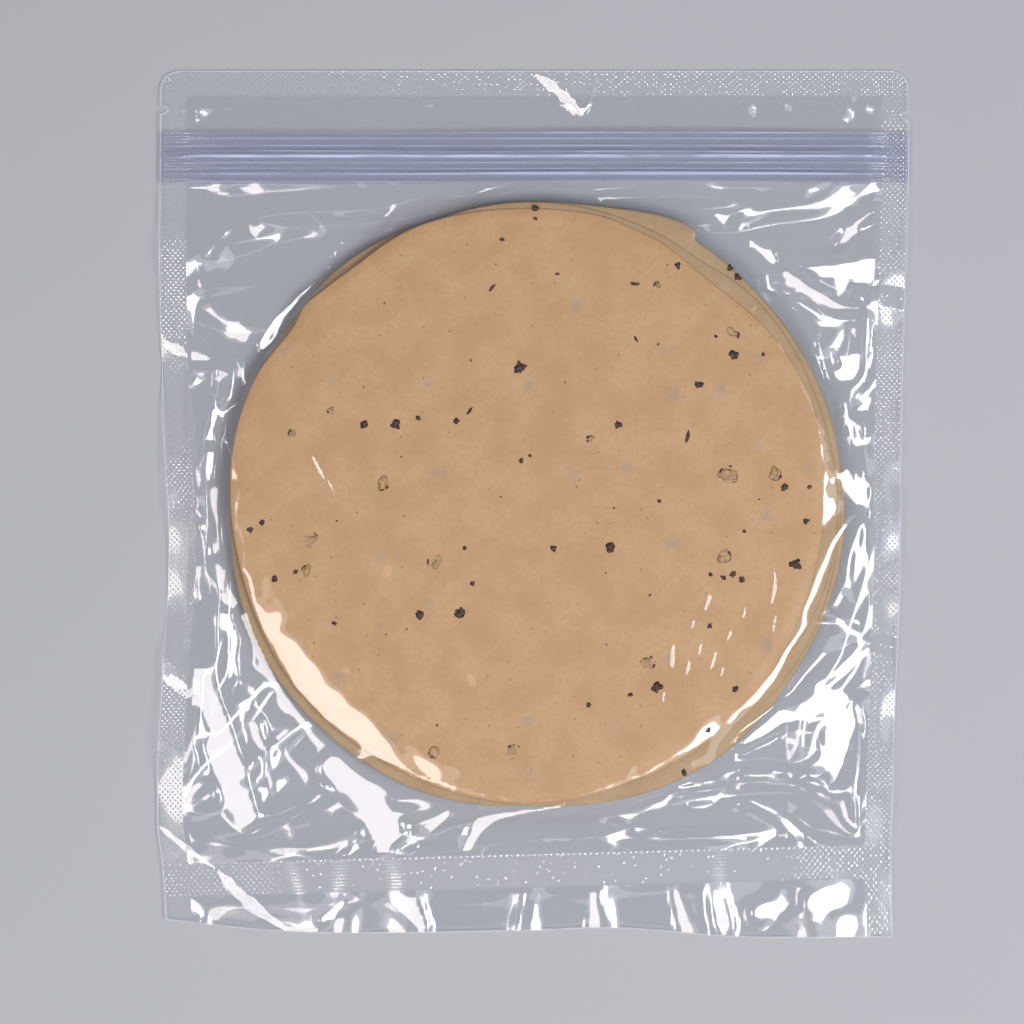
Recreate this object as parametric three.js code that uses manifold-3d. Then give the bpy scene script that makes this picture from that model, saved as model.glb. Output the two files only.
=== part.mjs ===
// A clear resealable pouch with a stack of raw papadums sealed inside, lying on its back.
// Millimetres: +X runs across the pouch, +Y towards its zip and +Z up from the table.
// The pouch and what it holds are one closed solid, and the zip strip lies in a seat in it.
import * as THREE from "three";
import { mergeVertices } from "three/addons/utils/BufferGeometryUtils.js";
import Module from "manifold-3d";

const { lerp, clamp, smoothstep, euclideanModulo } = THREE.MathUtils;
const wasm = await Module();
wasm.setup();

// Papadums
const papadDiameter = 164;
const papadPitch = 0.75; // one disc with the air under it
const papadCount = 12;
const papadSides = 80;
const stackHeight = papadCount * papadPitch;
const papadRadius = papadDiameter / 2;
const papadProud = 0.2; // how far a disc stands out of the film drawn over it
// Where the discs that show lie off the pouch's middle, from the top one down
const papadShifts = [
  [-1.4, 0.4],
  [1.3, 0.8],
  [3.4, 1.5],
  [4.4, -1.6],
  [-1.9, 0.5],
  [-2.4, -2.0],
];
// A rolled disc is never quite round: waves of every rim, with the disc's own turn of each
const rimWaves = [
  { count: 3, size: 0.6, turn: 1.7 },
  { count: 7, size: 0.35, turn: 2.9 },
];
// Dents in the rims, and a broken flap that stands out behind its corner; angles in radians
const rimDents = [
  { disc: 0, angle: 0.9, width: 0.24, depth: 3.3 },
  { disc: 0, angle: 2.2, width: 0.16, depth: 1.6 },
  { disc: 0, angle: 2.52, width: 0.12, depth: 1.5 },
  { disc: 1, angle: 0.98, width: 0.12, depth: 1.2 },
  { disc: 2, angle: 1.4, width: 0.2, depth: 0.9 },
];
const flap = { disc: 2, angle: 1.065, behind: 0.2, ahead: 0.03, reach: 2.4 };

// Pouch outline
const topEdgeY = 120;
const topCornerRadius = 5;
const notchDepth = 2;
const notchWidth = 2.4;
const leftNotchY = 109.2;
const rightNotchY = 107.5;
// Each edge is a smooth line through [along, across] points
const leftEdge = smoothLine([
  [-121, -101.3],
  [-101, -102.6],
  [-89, -104],
  [-45, -102.4],
  [-6, -100.8],
  [24, -102.4],
  [57, -103.3],
  [121, -103.1],
]);
const rightEdge = smoothLine([
  [-121, 99.7],
  [-93, 99.2],
  [-40, 101],
  [57, 102.9],
  [90, 104],
  [121, 104],
]);
const bottomEdge = smoothLine([
  [-105, -114.8],
  [-66, -118.5],
  [0, -118.2],
  [24, -117.5],
  [60, -120],
  [105, -120],
]);

// Seals and film
const sideSeal = 7.1;
const topSeal = 7;
const bottomSeal = 9.2;
const bottomSealLeftY = -100; // the seal's upper line runs uphill to the right
const bottomSealRightY = -94.5;
const sealThickness = 0.4; // two welded films
const airGap = 0.9; // between the films where nothing holds them apart
const sealFlare = 7; // over this run the films part from a seal
const tentRun = 11; // the film comes down from the stack over this run
const cornerTentRun = 26; // and over this run at the lower right, where it is pulled into a tent
const tentHollow = 1.7; // power of the tent's hollow slope
const cornerTentAngle = -0.82; // radians from +X
const cornerTentWidth = 0.245; // radians
const zipFlare = 3; // over this run the film parts from the zip above the stack
const zipFlareReach = 60; // and this far to either side
const zipFlareFade = 20;

// How high the seals lie above the table
const zipLift = 2;
const sideLift = 2.2;
const sideWave = 1.2;
const sideWaveLength = 74;
const sideWaveTurns = { left: 0.6, right: 2.4 };
const sideRise = [55, 96]; // the sides lift between these distances from the middle
const zipRise = [66, 86]; // the film rises to the zip between these heights
const bottomRise = [78, 97];
const bottomLift = 1.4;
const topEdgeLift = 1.2;
const stackMargin = [-1, 6.5]; // the back film leaves the table over this run outside the stack

// Flutes in the loose film below the bottom seal: place, height, half width and lean
const fluteRun = 7;
const flutes = [
  { x: -62, height: 1, width: 6, lean: 0.3 },
  { x: -51, height: 1.4, width: 6, lean: -0.1 },
  { x: -34, height: 1.9, width: 7, lean: 0.15 },
  { x: -2, height: 1.1, width: 6, lean: 0 },
  { x: 18, height: 0.9, width: 6, lean: 0.2 },
  { x: 50, height: 1.5, width: 7, lean: -0.1 },
  { x: 76, height: 1.7, width: 12, lean: 0.3 },
];

// Zip strip: a tape with two tracks and fine ribs
const zipLowY = 89;
const zipHighY = 103;
const zipTape = 0.7;
const zipGap = 0.3; // clearance to the pouch
const zipTracks = [
  { y: 96.9, width: 2.2, height: 2.1 },
  { y: 92, width: 1.2, height: 1.5 },
];
const zipRibs = { from: 98.9, to: 102.4, count: 4, width: 0.4, height: 0.35 };
const zipShoulder = 0.7; // a track is this share of its height where it starts to round over
const zipSunk = 0.35; // tracks and ribs start this far down in the tape
const zipHalfLength = 95.2;

// Ridges where the loose film is folded: ends, height and half width
const folds = [
  { from: [-91, 40], to: [-89, -50], height: 2.4, width: 3.4 },
  { from: [-95, -50], to: [-74, -84], height: 2.2, width: 4 },
  { from: [-82, -44], to: [-64, -80], height: 1.6, width: 4 },
  { from: [-58, -66], to: [-38, -94], height: 2, width: 4.5 },
  { from: [-22, -94], to: [8, -86], height: 1.6, width: 3.6 },
  { from: [41, -84], to: [77, -92], height: 2, width: 3.6 },
  { from: [45, -72], to: [94, -39], height: 3.2, width: 6 },
  { from: [91, 40], to: [92, -26], height: 2.4, width: 3.4 },
  { from: [69, 69], to: [96, 50], height: 2.6, width: 4 },
  { from: [-94, 62], to: [-66, 82], height: 1.4, width: 4 },
];

// Grid of the film: equal steps between the pouch's own lines
const innerColumns = 42;
const innerRows = 40;
const skirtRows = 4;
const headerRows = 3;
const sealSteps = 2;
const middleLeft = leftEdge(0);
const middleRight = rightEdge(0);
const sealShare = sideSeal / (middleRight - middleLeft);

function smoothLine(points) {
  const along = points.map((p) => p[0]);
  const across = points.map((p) => p[1]);
  const line = new THREE.CubicInterpolant(along, across, 1);
  return (t) => line.evaluate(clamp(t, along[0], along.at(-1)))[0];
}

const sealHigh = (x) =>
  lerp(bottomSealLeftY, bottomSealRightY, (x - middleLeft) / (middleRight - middleLeft));
const sealLow = (x) => sealHigh(x) - bottomSeal;

// Distance outside a disc of the stack, negative inside it
function outsidePapad(k, x, y) {
  const [shiftX, shiftY] = papadShifts[k];
  const angle = Math.atan2(y - shiftY, x - shiftX);
  return Math.hypot(x - shiftX, y - shiftY) - papadRim(k, angle);
}

const turnFrom = (angle, middle) => euclideanModulo(angle - middle + Math.PI, 2 * Math.PI) - Math.PI;
const bell = (t) => Math.exp(-t * t);

function papadRim(k, angle) {
  let rim = papadRadius;
  for (const { count, size, turn } of rimWaves) rim += size * Math.sin(count * angle + turn * k);
  for (const dent of rimDents) {
    if (dent.disc === k) rim -= dent.depth * bell(turnFrom(angle, dent.angle) / dent.width);
  }
  if (flap.disc === k) {
    const turn = turnFrom(angle, flap.angle);
    rim += flap.reach * bell(turn / (turn > 0 ? flap.behind : flap.ahead));
  }
  return rim;
}

// Height of the back film: flat under the stack, lifted at the seals
function backHeight(x, y) {
  const turn = x < 0 ? sideWaveTurns.left : sideWaveTurns.right;
  const wave = Math.sin((2 * Math.PI * y) / sideWaveLength + turn);
  let lift = (sideLift + sideWave * wave) * smoothstep(Math.abs(x), ...sideRise);
  lift = lerp(lift, zipLift, smoothstep(y, ...zipRise));
  lift = lerp(lift, topEdgeLift, smoothstep(y, zipHighY + 1, topEdgeY));
  lift = lerp(lift, bottomLift, smoothstep(-y, ...bottomRise));
  lift += fluteHeight(x, y);
  const nearest = Math.min(...papadShifts.map((_, k) => outsidePapad(k, x, y)));
  return Math.max(0, lift) * smoothstep(nearest, ...stackMargin);
}

function fluteHeight(x, y) {
  const under = sealLow(x) - y;
  let height = 0;
  for (const flute of flutes) {
    const across = clamp((x - flute.x - flute.lean * under) / flute.width, -1, 1);
    height += flute.height * Math.cos((across * Math.PI) / 2) ** 2;
  }
  return height * smoothstep(under, 0, fluteRun);
}

// 0 on the seals and the zip, 1 where the films are free to part
function loose(x, y) {
  const fromSide = Math.min(x - leftEdge(y), rightEdge(y) - x) - sideSeal;
  const fromBottom = y - sealHigh(x);
  const fromZip = zipLowY - y;
  return smoothstep(Math.min(fromSide, fromBottom, fromZip), 0, sealFlare);
}

function foldHeight(x, y) {
  const point = new THREE.Vector3(x, y, 0);
  const nearest = new THREE.Vector3();
  let sum = 0;
  for (const { from, to, height, width } of folds) {
    const line = new THREE.Line3(new THREE.Vector3(...from, 0), new THREE.Vector3(...to, 0));
    const along = line.closestPointToPointParameter(point, true);
    line.at(along, nearest);
    const taper = Math.sqrt(Math.sin(Math.PI * clamp(along, 0.05, 0.95)));
    sum += height * taper * bell(nearest.distanceTo(point) / width);
  }
  return sum;
}

// Film drawn over the stack: 1 on a disc, falling in a hollow slope outside it
function tent(k, x, y) {
  const outside = Math.max(0, outsidePapad(k, x, y));
  const turn = Math.atan2(y, x) - cornerTentAngle;
  const run = lerp(tentRun, cornerTentRun, bell(turn / cornerTentWidth));
  return Math.max(0, 1 - outside / run) ** tentHollow;
}

// Height of the front film
function frontHeight(x, y) {
  const free = loose(x, y);
  const base = backHeight(x, y) + sealThickness + free * (airGap + foldHeight(x, y));
  const aboveStack = smoothstep(zipFlareReach - Math.abs(x), 0, zipFlareFade);
  const room = Math.max(free, smoothstep(zipLowY - y, 0, zipFlare) * aboveStack);
  return papadShifts.reduce((height, _, k) => {
    const top = stackHeight - k * papadPitch - papadProud;
    return Math.max(height, lerp(base, top, tent(k, x, y) * room));
  }, base);
}

// Lines of the grid: each stretch between two of the pouch's lines is cut into equal steps
function ladder(stretches) {
  const lines = stretches.flatMap(({ from, to, steps }) =>
    Array.from({ length: steps }, (_, i) => (x) => lerp(from(x), to(x), i / steps)),
  );
  return [...lines, stretches.at(-1).to];
}

// A closed mesh as a solid for joining and cutting
function solidOf(geometry) {
  const bare = geometry.index ? geometry.clone() : geometry;
  bare.deleteAttribute("normal");
  bare.deleteAttribute("uv");
  const merged = mergeVertices(bare, 1e-4);
  const vertProperties = new Float32Array(merged.attributes.position.array);
  const triVerts = new Uint32Array(merged.index.array);
  return new wasm.Manifold(new wasm.Mesh({ numProp: 3, vertProperties, triVerts }));
}

function geometryOf(solid) {
  const { vertProperties, triVerts } = solid.getMesh();
  const geometry = new THREE.BufferGeometry();
  geometry.setAttribute("position", new THREE.BufferAttribute(vertProperties, 3));
  geometry.setIndex(new THREE.BufferAttribute(triVerts, 1));
  geometry.computeVertexNormals();
  return geometry;
}

// The pouch: a box whose front and back faces are drawn to the two films
function filmSolid() {
  const share = (value) => () => value;
  const columns = ladder([
    { from: share(0), to: share(sealShare), steps: sealSteps },
    { from: share(sealShare), to: share(1 - sealShare), steps: innerColumns },
    { from: share(1 - sealShare), to: share(1), steps: sealSteps },
  ]);
  const rows = ladder([
    { from: bottomEdge, to: sealLow, steps: skirtRows },
    { from: sealLow, to: sealHigh, steps: sealSteps },
    { from: sealHigh, to: share(zipLowY), steps: innerRows },
    { from: share(zipLowY), to: share(zipHighY), steps: sealSteps },
    { from: share(zipHighY), to: share(topEdgeY - topSeal), steps: headerRows },
    { from: share(topEdgeY - topSeal), to: share(topEdgeY), steps: sealSteps },
  ]);
  const across = columns.length - 1;
  const up = rows.length - 1;
  const box = new THREE.BoxGeometry(1, 1, 1, across, up, 1);
  const places = box.attributes.position;
  for (let i = 0; i < places.count; i++) {
    const u = columns[Math.round((places.getX(i) + 0.5) * across)]();
    const row = rows[Math.round((places.getY(i) + 0.5) * up)];
    const y = row(lerp(middleLeft, middleRight, u));
    const x = lerp(leftEdge(y), rightEdge(y), u);
    const height = places.getZ(i) > 0 ? frontHeight : backHeight;
    places.setXYZ(i, x, y, height(x, y));
  }
  return solidOf(box);
}

// One papadum of the stack, as a disc with an uneven rim
function papadSolid(k) {
  const [shiftX, shiftY] = papadShifts[k];
  const rim = Array.from({ length: papadSides }, (_, i) => {
    const angle = (2 * Math.PI * i) / papadSides;
    const radius = papadRim(k, angle);
    return new THREE.Vector2(shiftX + radius * Math.cos(angle), shiftY + radius * Math.sin(angle));
  });
  const disc = new THREE.ExtrudeGeometry(new THREE.Shape(rim), { depth: papadPitch, bevelEnabled: false });
  disc.translate(0, 0, stackHeight - (k + 1) * papadPitch);
  return solidOf(disc);
}

const cutDepth = 40; // cutters run well past both films
const cutMargin = 2; // and past the edges

function cutter(shape) {
  const block = new THREE.ExtrudeGeometry(shape, { depth: cutDepth, bevelEnabled: false });
  return solidOf(block.translate(0, 0, -cutDepth / 2));
}

// What rounding takes off a top corner; side is -1 at the left and 1 at the right
function cornerCutter(side) {
  const edge = side < 0 ? leftEdge(topEdgeY) : rightEdge(topEdgeY);
  const middleX = edge - side * topCornerRadius;
  const middleY = topEdgeY - topCornerRadius;
  const shape = new THREE.Shape();
  shape.absarc(middleX, middleY, topCornerRadius, side < 0 ? Math.PI : 0, Math.PI / 2, side < 0);
  shape.lineTo(middleX, topEdgeY + cutMargin);
  shape.lineTo(edge + side * cutMargin, topEdgeY + cutMargin);
  shape.lineTo(edge + side * cutMargin, middleY);
  return cutter(shape);
}

// Tear notch in a side seal: a slit with a round end
function notchCutter(side, y) {
  const edge = side < 0 ? leftEdge(y) : rightEdge(y);
  const endX = edge - side * (notchDepth - notchWidth / 2);
  const shape = new THREE.Shape();
  shape.moveTo(edge + side * cutMargin, y - notchWidth / 2);
  shape.absarc(endX, y, notchWidth / 2, -Math.PI / 2, Math.PI / 2, side > 0);
  shape.lineTo(edge + side * cutMargin, y + notchWidth / 2);
  return cutter(shape);
}

// The zip's cross-section, drawn with the height across the strip running along X
function zipSection() {
  const ribStep = (zipRibs.to - zipRibs.from) / (zipRibs.count - 1);
  const ribs = Array.from({ length: zipRibs.count }, (_, i) => ({
    y: zipRibs.from + i * ribStep,
    width: zipRibs.width,
    height: zipRibs.height,
  }));
  const steps = [...zipTracks, ...ribs].sort((a, b) => a.y - b.y);
  const shape = new THREE.Shape();
  shape.moveTo(zipLowY, 0);
  shape.lineTo(zipLowY, zipTape);
  for (const { y, width, height } of steps) {
    const crown = zipTape - zipSunk + height;
    const shoulder = zipTape - zipSunk + zipShoulder * height;
    shape.lineTo(y - width / 2, zipTape);
    shape.lineTo(y - width / 2, shoulder);
    shape.lineTo(y - width / 4, crown);
    shape.lineTo(y + width / 4, crown);
    shape.lineTo(y + width / 2, shoulder);
    shape.lineTo(y + width / 2, zipTape);
  }
  shape.lineTo(zipHighY, zipTape);
  shape.lineTo(zipHighY, 0);
  return shape;
}

function zipSeat() {
  const low = zipLowY - zipGap;
  const high = zipHighY + zipGap;
  const reach = zipHalfLength + zipGap;
  const seat = new THREE.BoxGeometry(2 * reach, high - low, cutDepth);
  const floor = zipLift + sealThickness;
  return solidOf(seat.translate(0, (low + high) / 2, floor + cutDepth / 2));
}

function makePouch() {
  let solid = filmSolid();
  papadShifts.forEach((_, k) => (solid = solid.add(papadSolid(k))));
  const cuts = [
    zipSeat(),
    cornerCutter(-1),
    cornerCutter(1),
    notchCutter(-1, leftNotchY),
    notchCutter(1, rightNotchY),
  ];
  for (const cut of cuts) solid = solid.subtract(cut);
  const film = new THREE.MeshStandardMaterial({
    color: 0xdcae76,
    roughness: 0.25,
    metalness: 0,
  });
  const pouch = new THREE.Mesh(geometryOf(solid), film);
  pouch.name = "pouch";
  return pouch;
}

function makeZipStrip() {
  const length = 2 * zipHalfLength;
  const strip = new THREE.ExtrudeGeometry(zipSection(), { depth: length, bevelEnabled: false });
  const plastic = new THREE.MeshStandardMaterial({
    color: 0xc3cde0,
    roughness: 0.3,
    metalness: 0,
  });
  const zip = new THREE.Mesh(strip, plastic);
  zip.name = "zip_strip";
  // The section's X becomes +Y and its Y becomes +Z, so the strip runs along X
  const [alongX, alongY, alongZ] = [0, 1, 2].map((i) => new THREE.Vector3().setComponent(i, 1));
  zip.setRotationFromMatrix(new THREE.Matrix4().makeBasis(alongY, alongZ, alongX));
  zip.position.set(-zipHalfLength, 0, zipLift + sealThickness + zipGap);
  return zip;
}

const pack = new THREE.Group();
pack.add(makePouch(), makeZipStrip());

export default pack;
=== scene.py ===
import math

import bmesh
import bpy
import numpy as np
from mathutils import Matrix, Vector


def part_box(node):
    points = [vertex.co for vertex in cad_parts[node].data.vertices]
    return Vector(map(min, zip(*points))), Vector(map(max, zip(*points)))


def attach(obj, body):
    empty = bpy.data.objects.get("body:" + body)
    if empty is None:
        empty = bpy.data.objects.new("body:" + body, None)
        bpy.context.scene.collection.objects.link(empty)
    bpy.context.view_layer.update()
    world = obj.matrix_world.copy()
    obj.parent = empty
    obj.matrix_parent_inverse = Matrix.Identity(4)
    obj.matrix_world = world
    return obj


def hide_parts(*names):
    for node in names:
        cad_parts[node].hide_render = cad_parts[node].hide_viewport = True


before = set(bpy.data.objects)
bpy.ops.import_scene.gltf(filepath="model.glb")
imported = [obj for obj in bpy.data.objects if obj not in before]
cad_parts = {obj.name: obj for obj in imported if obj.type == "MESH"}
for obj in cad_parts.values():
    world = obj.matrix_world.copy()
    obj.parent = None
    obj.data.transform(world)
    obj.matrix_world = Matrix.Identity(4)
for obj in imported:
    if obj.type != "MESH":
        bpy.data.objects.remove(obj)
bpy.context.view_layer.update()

mm = 0.001
farAway = 1e9
rng = np.random.default_rng(11)
body = "root"
zipLow, zipHigh = (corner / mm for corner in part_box("zip_strip"))
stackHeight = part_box("pouch")[1].z / mm


# Small helpers: everything below is in millimetres until a mesh is made

def ease(value, low, high):
    t = np.clip((value - low) / (high - low), 0, 1)
    return t * t * (3 - 2 * t)


def between(a, b, share):
    return a + (b - a) * share


def smoothLine(points):
    along, across = np.array(points, float).T
    slopes = np.diff(across) / np.diff(along)
    lean = np.concatenate((slopes[:1], (slopes[1:] + slopes[:-1]) / 2, slopes[-1:]))

    def line(t):
        t = np.clip(t, along[0], along[-1])
        i = np.clip(np.searchsorted(along, t, side="right") - 1, 0, len(slopes) - 1)
        step = along[i + 1] - along[i]
        p = (t - along[i]) / step
        q = 1 - p
        start = across[i] * (1 + 2 * p) * q * q + step * lean[i] * p * q * q
        end = across[i + 1] * p * p * (3 - 2 * p) - step * lean[i + 1] * p * p * q
        return start + end

    return line


def ridgeDistance(x, y, route):
    # distance to a bent line, and how far along it the nearest point is, from 0 to 1
    best = np.full(np.shape(x), farAway)
    place = np.zeros(np.shape(x))
    legs = len(route) - 1
    for i in range(legs):
        (x0, y0), (x1, y1) = route[i], route[i + 1]
        dx, dy = x1 - x0, y1 - y0
        t = np.clip(((x - x0) * dx + (y - y0) * dy) / (dx * dx + dy * dy), 0, 1)
        away = np.hypot(x - x0 - t * dx, y - y0 - t * dy)
        nearer = away < best
        best = np.where(nearer, away, best)
        place = np.where(nearer, (i + t) / legs, place)
    return best, place


# Pouch outline and its seals

pouch = {
    "leftEdge": [(-121, -101.3), (-101, -102.6), (-89, -104), (-45, -102.4), (-6, -100.8), (24, -102.4),
                 (57, -103.3), (121, -103.1)],
    "rightEdge": [(-121, 99.7), (-93, 99.2), (-40, 101), (57, 102.9), (90, 104), (121, 104)],
    "bottomEdge": [(-105, -114.8), (-66, -118.5), (0, -118.2), (24, -117.5), (60, -120), (105, -120)],
    "topEdge": 120.0,
    "topCorner": 5.0,
    "notches": {-1: 109.2, 1: 107.5},  # tear notch in the left and the right seal
    "notchDepth": 2.0,
    "notchWidth": 2.4,
    "sideSeal": 7.1,
    "topSeal": 7.0,
    "bottomSeal": 9.2,
    "bottomSealEnds": (-100.0, -94.5),  # its upper line, at the left and the right
    "sealGauge": 0.25,
    "cell": 0.40,  # of the seals' mesh
    "dotHeight": 0.06,
    "dotPitch": 4,  # cells from dot to dot, in staggered rows
    "dotSpread": 0.3,  # how much their heights differ
    "lines": 0.2,  # raised lines along the lower seal, as a share of the dots
    "specks": 0.014,  # share of raised specks on the lower seal
    "dotsFrom": (62, 84),  # distances from the middle where its lines give way to dots
    "zipLift": 2.0,
    "zipLiftFrom": (66, 86),  # where this height is reached, and likewise below
    "sideLift": 2.2,
    "sideLiftFrom": (55, 96),
    "sideWave": 1.2,
    "sideWaveLength": 74.0,
    "sidePhases": (0.6, 2.4),  # of the left and the right side
    "sideTwist": 0.9,  # how far the outer edge rolls up and down
    "sideTwistFrom": (95, 104),
    "sideTwistLength": 58.0,
    "sideFlutter": (0.4, 3.7),  # quicker waves on that: share and length
    "bottomLift": 1.5,
    "bottomLiftFrom": (78, 97),
    "bottomLiftShare": 0.8,
    "topEdgeLift": 1.2,
    "leastLift": 0.05,
    "stackMargin": (-1, 6.5),  # the back film leaves the table over this distance from the stack
    "tableGap": 0.06,  # the film above the table
    "zipCover": 1.2,  # the front film above the zip tape
    # flutes of the loose hem, which die out above the lower seal: place, height, half width and lean
    "flutes": [(-62, 0.5, 5, 0.3), (-51, 0.8, 6, -0.1), (-34, 1.0, 7, 0.15), (-2, 0.6, 6, 0),
               (18, 0.6, 6, 0.2), (48, 0.8, 7, 0), (76, 1.0, 14, 0.3)],
    "fluteGrowth": [(0.4, -22, -2), (0.6, -2, 7)],  # share, and the distances below the seal where it grows
    # creases right across the seals: route, height and half width
    "bends": [([(-104, 49), (-94, 37)], 0.6, 5.0), ([(-105, -40), (-91, -52)], 2.0, 5.0),
              ([(96, 58), (106, 56)], 1.8, 3.0),
              ([(93, -38), (104, -41)], 1.6, 3.0), ([(-90, 114), (-78, 106)], 0.7, 3.0),
              ([(66, 115), (70, 104)], 0.6, 3.0), ([(88, 115), (86, 104)], 0.7, 3.4)],
    "skirtStep": 1.1,  # the back film ends this much higher than the front one
    "cutEdge": 0.3,  # width of the cut edge all round
    "cutEdgeSides": 6,
}
leftEdge = smoothLine(pouch["leftEdge"])
rightEdge = smoothLine(pouch["rightEdge"])
bottomEdge = smoothLine(pouch["bottomEdge"])
middleLeft = float(leftEdge(0))
middleRight = float(rightEdge(0))
sealShare = pouch["sideSeal"] / (middleRight - middleLeft)


def sealHigh(x):
    left, right = pouch["bottomSealEnds"]
    return between(left, right, (x - middleLeft) / (middleRight - middleLeft))


def sealLow(x):
    return sealHigh(x) - pouch["bottomSeal"]


# Papadums: the stack that the film is drawn over

papads = {
    "count": 12,
    "shown": 6,  # those whose rims can be seen
    "radius": 82.0,
    "rimWaves": [(0.6, 3, 1.7), (0.35, 7, 2.9)],  # height, waves in a turn and shift from disc to disc
    "thickness": 0.70,
    "pitch": 0.71,
    "filmOver": 0.36,  # the film above the top disc
    "lowest": 0.14,
    "shifts": [(-1.4, 0.4), (1.3, 0.8), (3.4, 1.5), (4.4, -1.6), (-1.9, 0.5), (-2.4, -2.0)],  # from the top
    "spread": 1.2,  # how far the hidden ones lie off the middle
    "pressEnd": 1.03,
    # where the film holds the rim down: angle, width, depth and how far in
    "press": [(-2.42, 0.5, 1.7, 9.0), (-0.78, 0.4, 0.9, 4.0), (2.4, 0.4, 0.4, 9.0)],
    # dents in the rims by disc: angle, width and depth
    "rimDents": {0: [(0.9, 0.24, 3.3), (1.2, 0.07, 0.6), (2.2, 0.16, 1.6), (2.42, 0.05, -0.9),
                     (2.52, 0.12, 1.5)],
                 1: [(0.98, 0.12, 1.2), (2.15, 0.1, 1.0)],
                 2: [(1.4, 0.2, 0.9)],
                 4: [(2.5, 0.12, 0.8)]},
    # a broken rim: disc, angle, its runs behind and ahead, and its reach
    "flap": (2, 1.065, 0.2, 0.012, 2.6),
    "steep": 2.6,  # slope of the stack's side as the film feels it
}
while len(papads["shifts"]) < papads["count"]:
    papads["shifts"].append(tuple(rng.uniform(-papads["spread"], papads["spread"], 2)))


def around(angle, middle):
    return (angle - middle + math.pi) % (2 * math.pi) - math.pi


def papadRim(k, angle):
    rim = papads["radius"]
    for tall, waves, shift in papads["rimWaves"]:
        rim = rim + tall * np.sin(waves * angle + shift * k)
    for middle, width, depth in papads["rimDents"].get(k, []):
        rim = rim - depth * np.exp(-(around(angle, middle) / width) ** 2)
    torn, corner, behind, ahead, reach = papads["flap"]
    if k == torn:
        away = around(angle, corner)
        rim = rim + reach * np.exp(-(away / np.where(away > 0, behind, ahead)) ** 2)
    return rim


def papadTop(k, angle, share):
    # height of disc k's upper face, with share 0 in the middle and 1 at its rim
    high = stackHeight - papads["filmOver"] - k * papads["pitch"]
    fall = 0
    for middle, width, depth, run in papads["press"]:
        held = ease(share, 1 - run / papads["radius"], papads["pressEnd"])
        fall = fall + depth * np.exp(-(around(angle, middle) / width) ** 2) * held
    return high - fall * high / stackHeight


def shownDiscs(x, y):
    # for each disc the angle and distance from its middle, and its rim at that angle
    for k in range(papads["shown"]):
        shiftX, shiftY = papads["shifts"][k]
        angle = np.arctan2(y - shiftY, x - shiftX)
        yield k, angle, np.hypot(x - shiftX, y - shiftY), papadRim(k, angle)


def stackTop(x, y):
    top = np.full(np.shape(x), -stackHeight)
    for k, angle, away, rim in shownDiscs(x, y):
        height = papadTop(k, angle, away / rim) - papads["steep"] * np.maximum(away - rim, 0)
        top = np.maximum(top, height)
    return top


def stackReach(x, y):
    # distance outside the stack's outline, negative inside it
    reach = np.full(np.shape(x), farAway)
    for _, _, away, rim in shownDiscs(x, y):
        reach = np.minimum(reach, away - rim)
    return reach


# Heights of the pouch's welded lines above the table

def backHeight(x, y):
    phase = np.where(x < 0, *pouch["sidePhases"])
    wave = np.sin(2 * math.pi * y / pouch["sideWaveLength"] + phase)
    lift = (pouch["sideLift"] + pouch["sideWave"] * wave) * ease(np.abs(x), *pouch["sideLiftFrom"])
    flutter, flutterLength = pouch["sideFlutter"]
    twist = np.sin(2 * math.pi * y / pouch["sideTwistLength"] + 2 * phase)
    twist = twist + flutter * np.sin(y / flutterLength + phase)
    lift = lift + pouch["sideTwist"] * twist * ease(np.abs(x), *pouch["sideTwistFrom"])
    lift = between(lift, pouch["zipLift"], ease(y, *pouch["zipLiftFrom"]))
    lift = between(lift, pouch["topEdgeLift"], ease(y, zipHigh.y + 1, pouch["topEdge"]))
    lift = between(lift, pouch["bottomLift"], pouch["bottomLiftShare"] * ease(-y, *pouch["bottomLiftFrom"]))
    lift = np.maximum(lift, pouch["leastLift"]) + fluteHeight(x, y) + foldHeight(x, y, pouch["bends"])
    return lift * ease(stackReach(x, y), *pouch["stackMargin"])


def fluteHeight(x, y):
    under = sealLow(x) - y
    growth = sum(share * ease(under, low, high) for share, low, high in pouch["fluteGrowth"])
    height = np.zeros(np.shape(x))
    for place, tall, wide, lean in pouch["flutes"]:
        away = np.clip((x - place - lean * under) / wide, -1, 1)
        height = height + tall * np.cos(away * math.pi / 2) ** 2
    return growth * height


foldEnds = (0.06, 0.94)  # a fold's ends lie level beyond these shares of its route
foldCurve = 1.2


def foldHeight(x, y, folds):
    # low at both ends of each route, or falling along it where two heights are given
    height = np.zeros(np.shape(x))
    for route, tall, wide in folds:
        away, place = ridgeDistance(x, y, route)
        if isinstance(tall, tuple):
            crest = between(*tall, place)
        else:
            crest = tall * np.sqrt(np.sin(math.pi * np.clip(place, *foldEnds)))
        height = np.maximum(height, crest * np.maximum(0, 1 - away / wide) ** foldCurve)
    return height


print("outline and stack ready")


# The film, settled over the stack

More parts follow.
